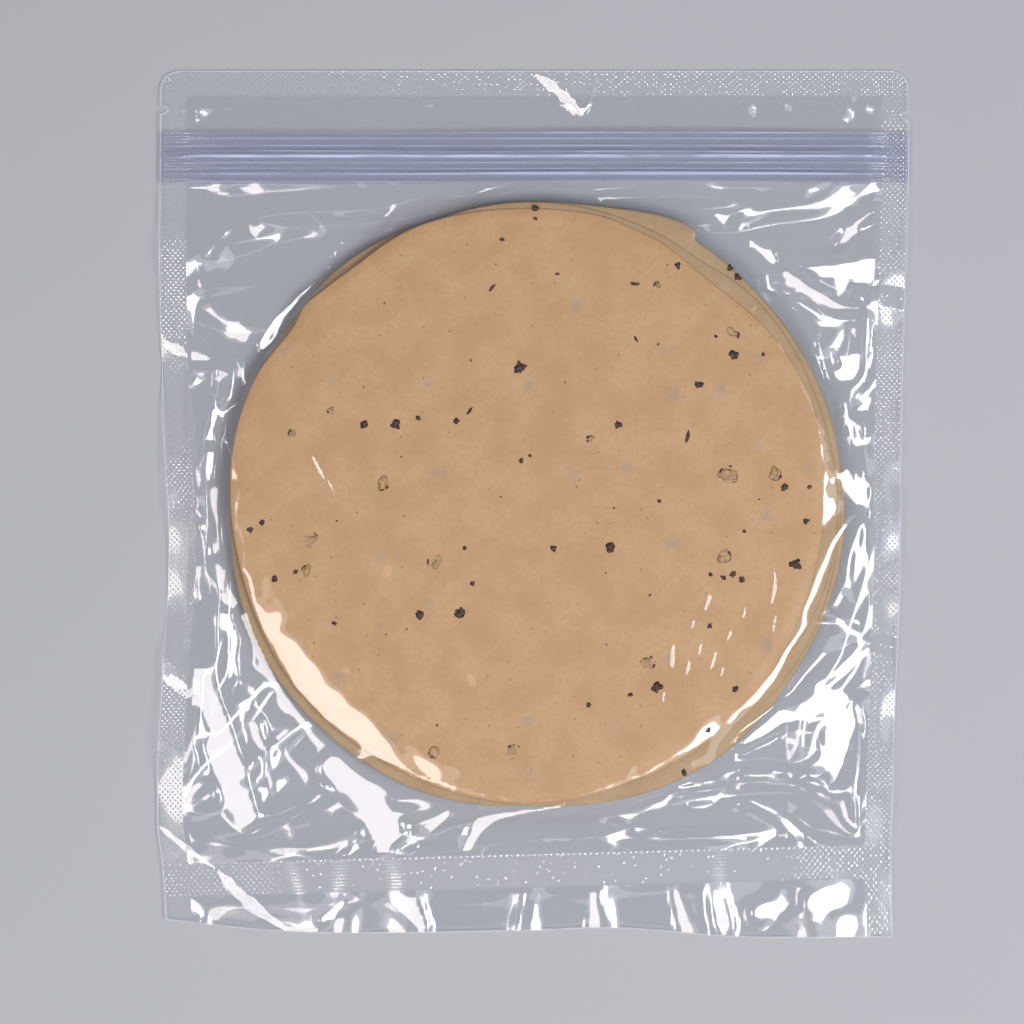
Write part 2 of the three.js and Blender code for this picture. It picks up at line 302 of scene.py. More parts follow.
film = {
    "gauge": 0.12,
    "flatWidth": 208.6,
    "spareUp": 0.022,
    "spareFrom": ((-96, -60), (-88, -40)),  # where the spare width grows, from the hem up and the zip down
    # grid cells across each stretch
    "cells": {"seal": 8, "inner": 192, "skirt": 12, "bottomSeal": 8, "main": 188, "zip": 16, "header": 8,
              "topSeal": 8},
    "passes": [(4, 160), (2, 200), (1, 90)],  # grid step and rounds, from coarse to fine
    "foldStep": 2,  # the pass that sharpens the folds
    "crumpleStep": 1,  # and the one that crumples the film halfway through
    "freeFrom": (0, 5),  # distances from the stack over which the film comes free of it
    "stackGrip": 0.5,  # the back film lies flat this far inside the stack's outline
    "startGap": 0.5,  # between the two films before they settle
    "backShare": 0.1,  # of the front's folds that the back film takes
    "weight": 0.0012,
    "weighed": 0.6,  # share of the rounds in which the film has weight
    "squeeze": 0.7,  # how stiffly the film takes being pushed together
    "bend": 0.03,
    "ironing": 2,  # rounds that take out kinks finer than the grid
    "ironShare": 0.25,
    "clear": 0.3,
    "tallest": 9.3,
    "crinkle": 0.2,
    "crumples": 230,  # short sharp ridges over the loose film
    "crumplesBeside": 160,  # of them beside the side seals
    "besideReach": (79.0, 97.0),
    "crumpleLength": (2.5, 11.0),
    "crumpleWidth": (1.3, 3.6),
    "crumpleSlope": (0.1, 0.4),
    "crumpleTurn": 0.5,  # how far they turn from the rim's own direction
    "crumpleField": ((-97, -104), (97, 88)),
    "besideSpan": (-72, 62),
    "calm": [(80, -62, 20), (-80, -70, 24), (-62, -86, 16)],  # smooth spots: place and radius
    "calmFade": (0.5, 1.2),  # shares of the radius where the crumples come back
    "kink": 1.5,  # how far the crests wander
    "kinkLength": 6.0,
    # crests that the film hangs over: route, rise and half width
    "crests": [
        ([(45, -74), (74, -53), (94, -39)], (6.0, 3.0), 2.2),
        ([(85, -31), (94, -37)], 5.0, 1.8),
        ([(69, 69), (82, 62), (92, 55), (96, 50)], 5.4, 2.0),
        ([(50, 80), (55, 73)], 3.0, 1.5),
        ([(-94, 40), (-90, 16), (-94, -12), (-91, -36)], 4.2, 1.8),
        ([(91, 40), (88, 22), (92, 2), (88, -14), (92, -26)], 4.4, 1.8),
        ([(-75, 47), (-57, 67)], 5.2, 1.6),
        ([(-84, 77), (-93, 66), (-92.5, 48)], 3.0, 1.5),
        ([(-21, -96), (-13, -87), (6, -85)], 3.4, 1.6),
    ],
    "dipFloor": (0.6, 0.7),  # share of the back film's height, and the height above that
    "dipRise": 2.4,
    # creases where it dips: route and half width
    "dips": [
        ([(38, -80), (63, -75), (85, -80), (94, -77)], 2.6),
        ([(-69, 43), (-51, 61)], 2.2),
        ([(-80, -50), (-64, -78)], 2.4),
        ([(66, 60), (90, 44)], 2.2),
    ],
    # the way that each kind of facet falls in the middle of the pouch, in degrees, and its slope
    "tilts": {"left": (221, 0.255), "right": (-27, 0.255), "soft": (-27, 0.16), "plain": (90, 0.05)},
    "tiltTurn": 0.00095,  # how much the slope changes for each millimetre from the middle
    "panelHold": 0.97,
    "panelLevel": 0.8,  # a facet clears this share of the ground under it
    "panelEdge": 1.5,
    "plainEdge": 6.0,
    "panelArch": 0.08,  # how much the slope changes from the middle of a facet to its edge
    "ripple": 0.085,  # small waves all over the loose film
    "rippleRounds": 14,  # of smoothing: more makes longer waves
    "rippleSeed": 29,
    "rippleStep": 0.6,
    # nearly flat facets between the folds: kind, route and half widths at its ends
    "panels": [
        ("plain", [(-93, -90), (-72, -93)], (5.0, 4.0)),
        ("plain", [(-74, 78), (-42, 79)], (3.6, 3.2)),
        ("plain", [(60, 76), (78, 80)], (4.0, 5.0)),
        ("plain", [(80, 83), (92, 86)], (3.5, 3.0)),
        ("left", [(-93, -50), (-86, -68), (-80, -86)], (6.5, 4.8)),
        ("left", [(-77, -61), (-72, -81)], (2.4, 1.2)),
        ("left", [(-80, -31), (-72, -49), (-59, -67), (-58, -77)], (2.2, 2.2)),
        ("left", [(-55, -73), (-44, -84), (-38, -97)], (4.5, 6.0)),
        ("left", [(-37, -96), (-24, -86)], (1.4, 2.6)),
        ("right", [(-52, -99), (-48, -93)], (2.2, 1.2)),
        ("left", [(-18, -96), (-15, -88), (-8, -86), (8, -83)], (2.6, 1.6)),
        ("plain", [(57, -69), (76, -70)], (3.0, 3.5)),
        ("right", [(58, -66), (70, -58), (84, -55), (87, -72)], (2.0, 6.5)),
        ("right", [(78, -50), (93, -41)], (1.8, 1.8)),
        ("left", [(90, -56), (93, -68)], (2.0, 1.6)),
        ("right", [(81, -30), (93, -38)], (1.0, 1.4)),
        ("right", [(40, -79), (52, -77)], (0.9, 1.2)),
        ("right", [(59, -75), (70, -75)], (1.2, 1.3)),
        ("right", [(76, -77), (84, -79)], (1.2, 1.2)),
        ("right", [(44, -82), (56, -81)], (1.0, 1.4)),
        ("right", [(60, -82), (71, -88), (76, -93)], (1.4, 1.6)),
        ("right", [(62, -93), (68, -92)], (1.4, 1.2)),
        ("right", [(71, 66), (84, 64), (96, 64)], (1.0, 5.5)),
        ("left", [(70, 64), (76, 59), (84, 54), (90, 52)], (2.4, 2.0)),
        ("right", [(73, 56), (81, 51), (92, 51)], (1.6, 1.4)),
        ("right", [(86, 38), (94, 38)], (4.5, 6.0)),
        ("right", [(78, 46), (83, 39)], (1.2, 1.4)),
        ("left", [(78, 45), (81, 34)], (1.6, 1.4)),
        ("right", [(86, 28), (89, 16)], (1.8, 1.4)),
        ("right", [(90, 26), (96, 30)], (1.6, 1.8)),
        ("right", [(90, 16), (95, 19)], (1.6, 1.6)),
        ("right", [(86, 9), (90, 1)], (2.0, 2.6)),
        ("right", [(91, 9), (93, -4)], (1.4, 1.4)),
        ("right", [(90, -7), (89, -21)], (1.4, 1.2)),
        ("right", [(93, -24), (93, -36)], (1.2, 1.2)),
        ("right", [(86, 84), (95, 87)], (1.0, 1.2)),
        ("left", [(85, 71), (90, 78), (94, 81)], (2.4, 1.6)),
        ("right", [(60, 73), (67, 67)], (1.8, 2.0)),
        ("right", [(51, 80), (54, 75)], (1.8, 1.0)),
        ("right", [(-90, 69), (-85, 76)], (1.6, 0.8)),
        ("left", [(-96, 89), (-83, 86)], (1.8, 0.9)),
        ("left", [(-63, 81), (-58, 77)], (1.3, 1.3)),
        ("right", [(-75, 44), (-71, 51), (-63, 58), (-55, 65)], (2.4, 1.8)),
        ("left", [(-55, 68), (-53, 73)], (1.4, 1.0)),
        ("left", [(-96, 42), (-90, 40)], (3.0, 2.0)),
        ("left", [(-83, 47), (-81, 51)], (1.3, 1.0)),
        ("left", [(-82, 41), (-79, 32)], (1.5, 1.4)),
        ("right", [(-88, 37), (-88, 29)], (1.4, 1.6)),
        ("right", [(-88, 26), (-89, 17)], (1.8, 2.2)),
        ("right", [(-89, 14), (-89, 7)], (2.2, 1.6)),
        ("right", [(-92, -6), (-88, -16)], (1.3, 1.3)),
        ("left", [(-87, -17), (-84, -27)], (2.2, 3.0)),
        ("right", [(-86, -31), (-82, -37), (-84, -48)], (1.8, 1.6)),
        ("left", [(-85, 19), (-82, 12), (-83, 3)], (1.6, 1.5)),
        ("left", [(-95, -4), (-94, -13)], (1.0, 1.0)),
        ("left", [(-93, -17), (-92, -27)], (1.0, 1.0)),
        ("left", [(-98, -48), (-94, -50)], (3.5, 4.0)),
        ("right", [(-58, -115), (-51, -109)], (2.2, 2.2)),
        ("left", [(-36, -108), (-31, -117)], (5.0, 2.6)),
        ("right", [(-2, -108), (-4, -117)], (1.4, 1.8)),
        ("left", [(18, -107), (16, -117)], (1.2, 1.6)),
        ("left", [(39, -104), (42, -117)], (1.6, 2.4)),
        ("left", [(50, -103), (53, -117)], (2.4, 3.2)),
        ("right", [(63, -113), (71, -110)], (3.4, 3.4)),
        ("right", [(78, -110), (86, -108)], (4.0, 4.5)),
        ("soft", [(60, 110), (63, 106.5)], (2.2, 1.6)),
        ("soft", [(66, 109.5), (70, 111), (72, 108)], (1.6, 1.2)),
        ("soft", [(76, 106.5), (78, 109)], (1.2, 0.8)),
        ("soft", [(86, 110), (88, 106.5)], (2.0, 2.4)),
        ("soft", [(92, 110.5), (95, 107.5)], (1.8, 1.2)),
        ("soft", [(-92, 109), (-80, 110)], (2.5, 2.0)),
        ("left", [(-30, 109), (-27, 112)], (1.0, 1.4)),
        ("left", [(6, 114), (13, 107)], (3.6, 2.2)),
        ("right", [(17, 114), (14, 108)], (2.0, 1.4)),
    ],
    # fine creases on the top disc, then on the seals: place, half length, width, turn in degrees and side
    "creases": [
        (-59, 10, 3.6, 0.9, -62, "left"), (-55.5, 4.5, 2.4, 0.7, -66, "left"),
        (48, -27, 2.2, 1.3, 72, "right"), (66, -23, 4.4, 1.0, 84, "right"),
        (66.5, -33, 2.2, 0.7, 80, "right"), (38.5, -42, 3.4, 1.1, 86, "right"),
        (42.5, -45, 2.0, 0.9, 80, "right"), (49.5, -43, 2.4, 0.9, 72, "right"),
        (46, -40, 1.6, 0.8, 76, "right"), (36, -53, 1.5, 0.7, 82, "right"),
        (54, -36, 1.6, 0.7, 70, "right"), (52, -46, 1.4, 0.7, 74, "right"),
        (58, -30, 1.4, 0.6, 76, "right"), (44, -33, 1.2, 0.6, 70, "right"),
        (-95.8, -95.1, 9.6, 1.6, -37, "left"), (-77.8, -109.7, 12.4, 3.6, -40, "left"),
        (7.2, 113.3, 8.6, 2.8, -41, "left"), (16.4, 113.3, 5.4, 1.2, 75, "right"),
        (-99.0, 42.8, 3.8, 2.6, -30, "left"), (-98.8, -49.4, 3.4, 3.0, -24, "left"),
    ],
    "creaseStations": 13,
    "creaseBow": 0.12,
    "creaseTaper": 0.96,
    "creaseRagged": 0.4,
    "creaseLevel": 0.7,  # each crease lies level, at this quantile of the heights under it
    # ridges where the loose film is folded: route, height and half width
    "folds": [
        ([(-94, 44), (-91.5, 16), (-94, -12), (-92, -36)], 4.2, 3.6),
        ([(-87, 6), (-88, -20), (-86, -48)], 4.0, 3.8),
        ([(-98, -42), (-90, -60), (-77, -88)], 5.6, 6.5),
        ([(-90, -58), (-76, -80)], 3.6, 4.0),
        ([(-74, -46), (-57, -69), (-43, -96)], 5.0, 6.0),
        ([(-52, -82), (-30, -94)], 3.6, 4.4),
        ([(-20, -95), (-12, -87), (8, -84)], 3.6, 4.6),
        ([(46, -68), (76, -51), (94, -39)], 6.0, 9.0),
        ([(66, -62), (92, -62)], 5.0, 16.0),
        ([(40, -79), (65, -74.5), (88, -81), (94, -74)], 5.0, 5.0),
        ([(42, -82), (62, -80.5), (76, -90), (86, -90)], 3.6, 3.6),
        ([(93, 52), (90, 24), (93, -8), (94, -36)], 4.0, 3.4),
        ([(88, 40), (86, 12)], 2.6, 2.8),
        ([(71, 66), (84, 62), (97, 57)], 4.8, 7.0),
        ([(78, 57), (88, 48), (96, 46)], 3.4, 3.4),
        ([(-100, 45), (-90, 42), (-84, 34)], 4.0, 4.4),
        ([(-88, 76), (-80, 68)], 2.6, 3.2),
        ([(-66, 66), (-60, 58), (-74, 46)], 2.4, 3.4),
        ([(-88, 111), (-72, 104)], 1.2, 2.6),
        ([(70, 108), (78, 112)], 1.2, 2.6),
    ],
    "tentRun": (11, 24),  # how far from the stack the film comes down, and at its widest
    "tentWidest": (-0.82, 0.25),  # angle there, and the span
    "tentCurve": 1.7,
}
bands = ["skirt", "bottomSeal", "main", "zip", "header", "topSeal"]  # from the hem up
strips = ["leftSeal", "inner", "rightSeal"]


def inBand(up, name):
    low = bands.index(name)
    return (up >= low) & (up <= low + 1)


def layout(step):
    # target places, flat places and welded points of a grid with cells of about that many millimetres
    def lines(stretches):
        parts = [np.arange(round(cells / step)) * step / cells + i for i, cells in enumerate(stretches)]
        return np.concatenate(parts + [[len(stretches)]])

    cells = film["cells"]
    across = lines([cells["seal"], cells["inner"], cells["seal"]])
    share = np.interp(across, [0, 1, 2, 3], [0, sealShare, 1 - sealShare, 1])
    up = lines([cells[band] for band in bands])
    x0 = between(middleLeft, middleRight, share)
    top = pouch["topEdge"]
    marks = [bottomEdge(x0), sealLow(x0), sealHigh(x0)]
    marks += [np.full(len(x0), level) for level in (zipLow.y, zipHigh.y, top - pouch["topSeal"], top)]
    marks = np.array(marks)
    low = np.minimum(up.astype(int), len(bands) - 1)
    part = (up - low)[:, None]
    y = between(marks[low], marks[low + 1], part)
    x = between(leftEdge(y), rightEdge(y), share[None, :])
    flatMarks = marks.copy()
    flatMarks[:3] -= film["spareUp"] * (marks[3:4] - marks[2:3])
    flatY = between(flatMarks[low], flatMarks[low + 1], part)
    wide = rightEdge(y) - leftEdge(y)
    lowEnd, highEnd = film["spareFrom"]
    spare = ease(y, *lowEnd) * ease(-y, *highEnd)
    flatX = (share[None, :] - 0.5) * between(wide, film["flatWidth"], spare)
    strip = np.minimum(across.astype(int), len(strips) - 1)
    side = (across <= 1) | (across >= 2)
    level = inBand(up, "bottomSeal") | inBand(up, "zip") | inBand(up, "topSeal")
    welded = side[None, :] | level[:, None]
    return {"x": x, "y": y, "flat": np.stack([flatX, flatY], -1), "welded": welded, "across": across,
            "up": up, "strip": strip, "band": low}


def kinked(route):
    # the same route with small turns to and fro
    places = [route[0]]
    for (x0, y0), (x1, y1) in zip(route[:-1], route[1:]):
        long = math.hypot(x1 - x0, y1 - y0)
        legs = max(1, round(long / film["kinkLength"]))
        for i in range(1, legs + 1):
            off = film["kink"] * rng.uniform(-1, 1) if i < legs else 0
            share = i / legs
            places.append((between(x0, x1, share) - off * (y1 - y0) / long,
                           between(y0, y1, share) + off * (x1 - x0) / long))
    return places


film["crests"] = [(kinked(route), tall, wide) for route, tall, wide in film["crests"]]


def dipLimit(x, y, base):
    share, over = film["dipFloor"]
    limit = np.full(np.shape(x), film["tallest"])
    for route, wide in film["dips"]:
        away, _ = ridgeDistance(x, y, route)
        limit = np.minimum(limit, share * base + over + film["dipRise"] * np.maximum(away - wide / 2, 0))
    return limit


def frontStart(x, y):
    base = backHeight(x, y) + film["startGap"]
    return np.maximum(base + foldHeight(x, y, film["folds"]), tentHeight(x, y, base))


def crumple(x, y):
    # short ridges that lie mostly along the rim of the stack
    height = np.zeros(np.shape(x))
    for number in range(film["crumples"]):
        middle = rng.uniform(*film["crumpleField"])
        if number < film["crumplesBeside"]:
            side = rng.choice((-1, 1))
            middle = np.array((side * rng.uniform(*film["besideReach"]), rng.uniform(*film["besideSpan"])))
        turn = math.atan2(middle[1], middle[0]) + math.pi / 2 + film["crumpleTurn"] * rng.standard_normal()
        long = rng.uniform(*film["crumpleLength"])
        wide = rng.uniform(*film["crumpleWidth"])
        tall = wide * rng.uniform(*film["crumpleSlope"])
        c, s = math.cos(turn), math.sin(turn)
        along = (x - middle[0]) * c + (y - middle[1]) * s
        across = (y - middle[1]) * c - (x - middle[0]) * s
        ridge = np.maximum(0, 1 - np.abs(across) / wide) * np.maximum(0, 1 - (along / long) ** 2)
        height = np.maximum(height, tall * ridge)
    inner, outer = film["calmFade"]
    for calmX, calmY, reach in film["calm"]:
        height = height * ease(np.hypot(x - calmX, y - calmY), inner * reach, outer * reach)
    return height


def facetFall(side, x=0.0, y=0.0):
    # how a facet falls there, along X and along Y
    degrees, slope = film["tilts"][side]
    turn = math.radians(degrees)
    return slope * math.cos(turn) - film["tiltTurn"] * x, slope * math.sin(turn) - film["tiltTurn"] * y


def layPanels(sheet, loose, ground):
    x, y = sheet[..., 0], sheet[..., 1]
    for side, route, halves in film["panels"]:
        away, place = ridgeDistance(x, y, route)
        half = between(*halves, place)
        edge = film["plainEdge" if side == "plain" else "panelEdge"]
        cover = film["panelHold"] * (1 - ease(away, half - edge / 2, half + edge / 2)) * loose
        fallX, fallY = facetFall(side)
        fall = x * fallX + y * fallY - film["tiltTurn"] * (x ** 2 + y ** 2) / 2
        level = ((sheet[..., 2] + fall) * cover).sum() / cover.sum()
        level = max(level, np.quantile((ground + fall)[cover > film["panelHold"] / 2], film["panelLevel"]))
        arch = film["panelArch"] * (away ** 2) / (2 * half)
        sheet[..., 2] += cover * (level - fall - arch - sheet[..., 2])
    high = np.clip(sheet[..., 2], ground, film["tallest"])
    sheet[..., 2] = np.where(loose, high, sheet[..., 2])


def ripples(rows, columns):
    edge = film["rippleRounds"]
    waves = np.random.default_rng(film["rippleSeed"])
    field = waves.standard_normal((rows + 2 * edge, columns + 2 * edge))
    for _ in range(film["rippleRounds"]):
        field += film["rippleStep"] * spread(field)
    field = field[edge:-edge, edge:-edge]
    return film["ripple"] * field / field.std()


def tentHeight(x, y, base):
    outside = np.maximum(stackReach(x, y), 0)
    angle, span = film["tentWidest"]
    run = between(*film["tentRun"], np.exp(-(around(np.arctan2(y, x), angle) / span) ** 2))
    slope = np.maximum(0, 1 - outside / run) ** film["tentCurve"]
    return between(base, np.maximum(stackTop(x, y), base), np.where(outside > 0, slope, 1))


def links(grid):
    # pairs of neighbours that don't share a point, with their flat distance
    every, low, high = slice(None), slice(0, -1), slice(1, None)
    even = (slice(0, -1, 2), slice(1, None, 2))
    odd = (slice(1, -1, 2), slice(2, None, 2))
    pairs = []
    for first, second in (even, odd):
        pairs.append(((every, first), (every, second)))
        pairs.append(((first, every), (second, every)))
        pairs.append(((first, low), (second, high)))
        pairs.append(((first, high), (second, low)))
    flat = grid["flat"]
    loose = (~grid["welded"]).astype(float)
    made = []
    for a, b in pairs:
        gap = flat[b] - flat[a]
        total = loose[a] + loose[b]
        total[total == 0] = 1
        made.append((a, b, np.hypot(gap[..., 0], gap[..., 1]), loose[a] / total, loose[b] / total))
    return made


def pull(sheet, pairs):
    for a, b, length, shareA, shareB in pairs:
        gap = sheet[b] - sheet[a]
        now = np.sqrt((gap * gap).sum(-1))
        off = (now - length) / now
        off = np.where(off > 0, off, off * film["squeeze"])
        sheet[a] += gap * (off * shareA)[..., None]
        sheet[b] -= gap * (off * shareB)[..., None]


def spread(field):
    # how far each inner point lies from the mean of its neighbours
    out = np.zeros_like(field)
    ring = field[:-2, 1:-1] + field[2:, 1:-1] + field[1:-1, :-2] + field[1:-1, 2:]
    out[1:-1, 1:-1] = ring / 4 - field[1:-1, 1:-1]
    return out


def finer(sheet):
    for axis in (0, 1):
        s = np.moveaxis(sheet, axis, 0)
        out = np.zeros((2 * len(s) - 1,) + s.shape[1:])
        out[::2] = s
        middle = (s[:-1] + s[1:]) / 2
        middle[1:-1] = (9 * (s[1:-2] + s[2:-1]) - s[:-3] - s[3:]) / 16
        out[1::2] = middle
        sheet = np.moveaxis(out, 0, axis)
    return sheet


def weldedPlaces(grid):
    x, y = grid["x"], grid["y"]
    low = np.maximum(backHeight(x, y), pouch["tableGap"])
    front = low + pouch["sealGauge"]
    onZip = inBand(grid["up"], "zip")
    front[onZip] = np.maximum(front[onZip], pouch["zipLift"] + pouch["zipCover"])
    return np.stack([x, y, front], -1), np.stack([x, y, low], -1)


def settleFilm():
    front = back = None
    for step, rounds in film["passes"]:
        grid = layout(step)
        x, y = grid["x"], grid["y"]
        weldFront, weldBack = weldedPlaces(grid)
        welded = grid["welded"]
        if front is None:
            front, back = weldFront.copy(), weldBack.copy()
            front[..., 2] = np.where(welded, front[..., 2], frontStart(x, y))
            back[..., 2] += np.where(welded, 0, film["backShare"] * foldHeight(x, y, film["folds"]))
        else:
            front, back = finer(front), finer(back)
            rough = film["crinkle"] * step / film["passes"][0][0] * rng.standard_normal(x.shape)
            free = np.where(welded, 0, ease(stackReach(x, y), *film["freeFrom"]))
            front[..., 2] += rough * free
            if step == film["foldStep"]:
                ridge = backHeight(x, y) + film["startGap"] + foldHeight(x, y, film["folds"])
                front[..., 2] = np.where(free > 0.5, np.maximum(front[..., 2], ridge), front[..., 2])
        pairs = links(grid)
        loose = ~welded
        under = stackReach(x, y) < -film["stackGrip"]
        crest = backHeight(x, y) + film["clear"] + foldHeight(x, y, film["crests"])
        limit = dipLimit(x, y, backHeight(x, y))
        for turn in range(rounds):
            weight = film["weight"] * step if turn < film["weighed"] * rounds else 0
            if step == film["crumpleStep"] and turn == rounds // 2:
                front[..., 2] += crumple(x, y) * free
            for sheet in (front, back):
                sheet[..., 2] -= weight * loose
                pull(sheet, pairs)
                sheet -= film["bend"] * spread(spread(sheet)) * loose[..., None]
            front[welded] = weldFront[welded]
            back[welded] = weldBack[welded]
            back[..., 2] = np.where(under, pouch["tableGap"], np.maximum(back[..., 2], pouch["tableGap"]))
            ground = np.maximum(stackTop(front[..., 0], front[..., 1]), back[..., 2]) + film["clear"]
            high = np.maximum(np.minimum(np.maximum(front[..., 2], crest), limit), ground)
            front[..., 2] = np.where(loose, high, front[..., 2])
        print("film settled at", step, "mm")
    for sheet in (front, back):
        for _ in range(film["ironing"]):
            sheet[loose] += film["ironShare"] * (spread(sheet) + spread(spread(sheet) + sheet))[loose]
    ground = np.maximum(stackTop(front[..., 0], front[..., 1]), back[..., 2]) + film["clear"]
    layPanels(front, loose, ground)
    front[..., 2] += ripples(*loose.shape) * loose
    return grid, front, back


# Meshes from grids

def addMesh(name, points, faces, marks=None, smooth=True):
    mesh = bpy.data.meshes.new(name)
    mesh.from_pydata((np.asarray(points) * mm).tolist(), [], faces)
    if marks is not None:
        mesh.attributes.new("raised", "FLOAT", "POINT").data.foreach_set("value", np.asarray(marks, float))
    mesh.polygons.foreach_set("use_smooth", np.full(len(mesh.polygons), smooth and marks is None))
    mesh.update()
    piece = bpy.data.objects.new(name, mesh)
    bpy.context.scene.collection.objects.link(piece)
    return piece


def gridPiece(name, places, keep, marks=None):
    rows, columns = places.shape[:2]
    index = np.arange(rows * columns).reshape(rows, columns)
    quads = np.stack([index[:-1, :-1], index[:-1, 1:], index[1:, 1:], index[1:, :-1]], -1)[keep]
    used, faces = np.unique(quads, return_inverse=True)
    faces = faces.reshape(-1, 4)
    raised = None
    if marks is not None:
        # each cell is cut between its low corners, so that the raised points become peaks
        raised = marks.ravel()[used]
        tall = raised[faces]
        cut = (tall[:, 0] + tall[:, 2] > tall[:, 1] + tall[:, 3])[:, None]
        first = np.where(cut, faces[:, [0, 1, 3]], faces[:, [0, 1, 2]])
        second = np.where(cut, faces[:, [1, 2, 3]], faces[:, [0, 2, 3]])
        faces = np.concatenate([first, second])
    return addMesh(name, places.reshape(-1, 3)[used], faces.tolist(), raised)


def cellsIn(grid, wantedBands, wantedStrips):
    inBands = np.isin(grid["band"][:-1], [bands.index(name) for name in wantedBands])
    inStrips = np.isin(grid["strip"][:-1], [strips.index(name) for name in wantedStrips])
    return inBands[:, None] & inStrips[None, :]


grid, frontPlaces, backPlaces = settleFilm()
backPlaces[..., 1] += pouch["skirtStep"] * np.clip(1 - grid["up"], 0, 1)[:, None]
frontFilm = gridPiece("front_film", frontPlaces, cellsIn(grid, ["main"], ["inner"]))
backFilm = gridPiece("back_film", backPlaces, cellsIn(grid, ["main", "zip", "header"], ["inner"]))
headerFilm = gridPiece("header_film", frontPlaces, cellsIn(grid, ["header"], ["inner"]))
skirtFront = gridPiece("skirt_front", frontPlaces, cellsIn(grid, ["skirt"], ["inner"]))
skirtBack = gridPiece("skirt_back", backPlaces, cellsIn(grid, ["skirt"], ["inner"]))
print("films made")


def sealPlaces(fine):
    x, y = fine["x"].copy(), fine["y"].copy()
    z = np.maximum(backHeight(x, y), pouch["tableGap"]) + pouch["sealGauge"] / 2
    radius = pouch["topCorner"]
    for side in (-1, 1):
        edge = float((leftEdge if side < 0 else rightEdge)(pouch["topEdge"]))
        a = (side * x - (side * edge - radius)) / radius
        b = (y - (pouch["topEdge"] - radius)) / radius
        corner = (a > 0) & (b > 0)
        a, b = np.clip(a, 0, 1), np.clip(b, 0, 1)
        x = np.where(corner, side * (side * edge - radius + radius * a * np.sqrt(1 - b * b / 2)), x)
        y = np.where(corner, pouch["topEdge"] - radius + radius * b * np.sqrt(1 - a * a / 2), y)
        outer = np.clip(1 - fine["across"] if side < 0 else fine["across"] - 2, 0, 1)
        notch = 1 - ((y - pouch["notches"][side]) / (pouch["notchWidth"] / 2)) ** 2
        x = x - side * outer * pouch["notchDepth"] * np.sqrt(np.maximum(notch, 0))
    return np.stack([x, y, z], -1)


def emboss(fine, places):
    # dots in staggered rows, or lines and specks on the lower seal
    rows, columns = places.shape[:2]
    row, column = np.indices((rows, columns))
    pitch = pouch["dotPitch"]
    first = (row % pitch == 0) & (column % pitch == 0)
    second = (row % pitch == pitch // 2) & (column % pitch == pitch // 2)
    dots = np.where(first | second, 1.0, 0.0)
    speck = rng.uniform(size=(rows, columns)) < pouch["specks"]
    lines = np.where(speck, 1.0, np.where(row % 2, pouch["lines"], 0))
    ends = ease(np.abs(places[..., 0]), *pouch["dotsFrom"])
    inSeal = fine["band"] == bands.index("bottomSeal")
    low = inSeal[:, None] & (fine["strip"] == strips.index("inner"))[None, :]
    raised = np.where(low, between(lines, dots, ends), dots)
    raised = raised * (1 + pouch["dotSpread"] * rng.uniform(-1, 1, raised.shape))
    places[..., 2] += pouch["dotHeight"] * raised
    return raised


fine = layout(pouch["cell"])
seals = sealPlaces(fine)
raised = emboss(fine, seals)
edgeMask = cellsIn(fine, bands, ["leftSeal", "rightSeal"]) | cellsIn(fine, ["topSeal"], strips)
edgeSeal = gridPiece("edge_seal", seals, edgeMask, raised)
bottomSeal = gridPiece("bottom_seal", seals, cellsIn(fine, ["bottomSeal"], ["inner"]), raised)
print("seals made")


# Zip strip: tape, two tracks and fine ribs, crushed flat where the side seals cross it

zipStrip = {
    "tape": 0.55,
    "tracks": [(96.7, 2.3, 1.7), (91.5, 1.0, 1.2)],  # place, width and height
    "ribs": [102.9, 102.1, 101.3, 100.5, 99.3, 94.6, 93.8, 93.0, 90.2, 89.2],
    "ribWidth": 0.44,
    "ribHeight": 0.26,
    "ribRound": 2.5,
    "inset": 0.3,  # from the pouch's outline
    "seat": 0.12,  # above the back film
    "base": 0.15,  # least thickness
    "samples": 128,
    "stations": 150,
    "crush": 0.25,
    "crushRun": (-0.8, 4.0),  # from the side seal inwards
    "wave": 0.2,
    "waveLength": 17.0,
    "bow": 0.35,
    "bowLength": 31.0,
    "bowShift": 0.6,
    "roughness": 0.3,
    "paintedShineRoughness": 0.25,
    "glazeRoughness": 0.12,
    "clear": (0.96, 0.97, 0.99),
    "paintedShineBreaks": (3.0, 2.0, 0.35, 0.6, (0.12, 1, 1)),  # gaps in the painted highlight lines: what Finish.patches takes
    "paintedShineBreakShare": (0.4, 0.6),  # least, and how much they add
    "paintedShineCore": 0.4,  # share of a line's half width at full strength
    "milk": 0.06,
    "edgeTint": 0.42,
    "colour": (0.35, 0.37, 0.58),
    "paintedShineColour": (0.74, 0.78, 1.0),
    "paintedShineEnds": (95.0, 97.5),
    # painted highlight lines along the tracks and ribs: place, half width and strength
    "glossAndPaintedShine": [(97.6, 0.5, 0.45), (96.3, 0.55, 0.6), (91.6, 0.5, 0.5), (102.9, 0.3, 0.3), (101.3, 0.25, 0.2),
              (99.3, 0.3, 0.25), (94.6, 0.25, 0.22), (93.0, 0.25, 0.2), (89.3, 0.25, 0.25)],
}


def zipProfile(y):
    height = np.full(np.shape(y), zipStrip["tape"])
    ribs = [(place, zipStrip["ribWidth"], zipStrip["ribHeight"]) for place in zipStrip["ribs"]]
    for place, wide, tall in zipStrip["tracks"] + ribs:
        bump = np.maximum(0, 1 - np.abs((y - place) / (wide / 2)) ** zipStrip["ribRound"])
        height = np.maximum(height, zipStrip["tape"] + tall * np.sqrt(bump))
    return height


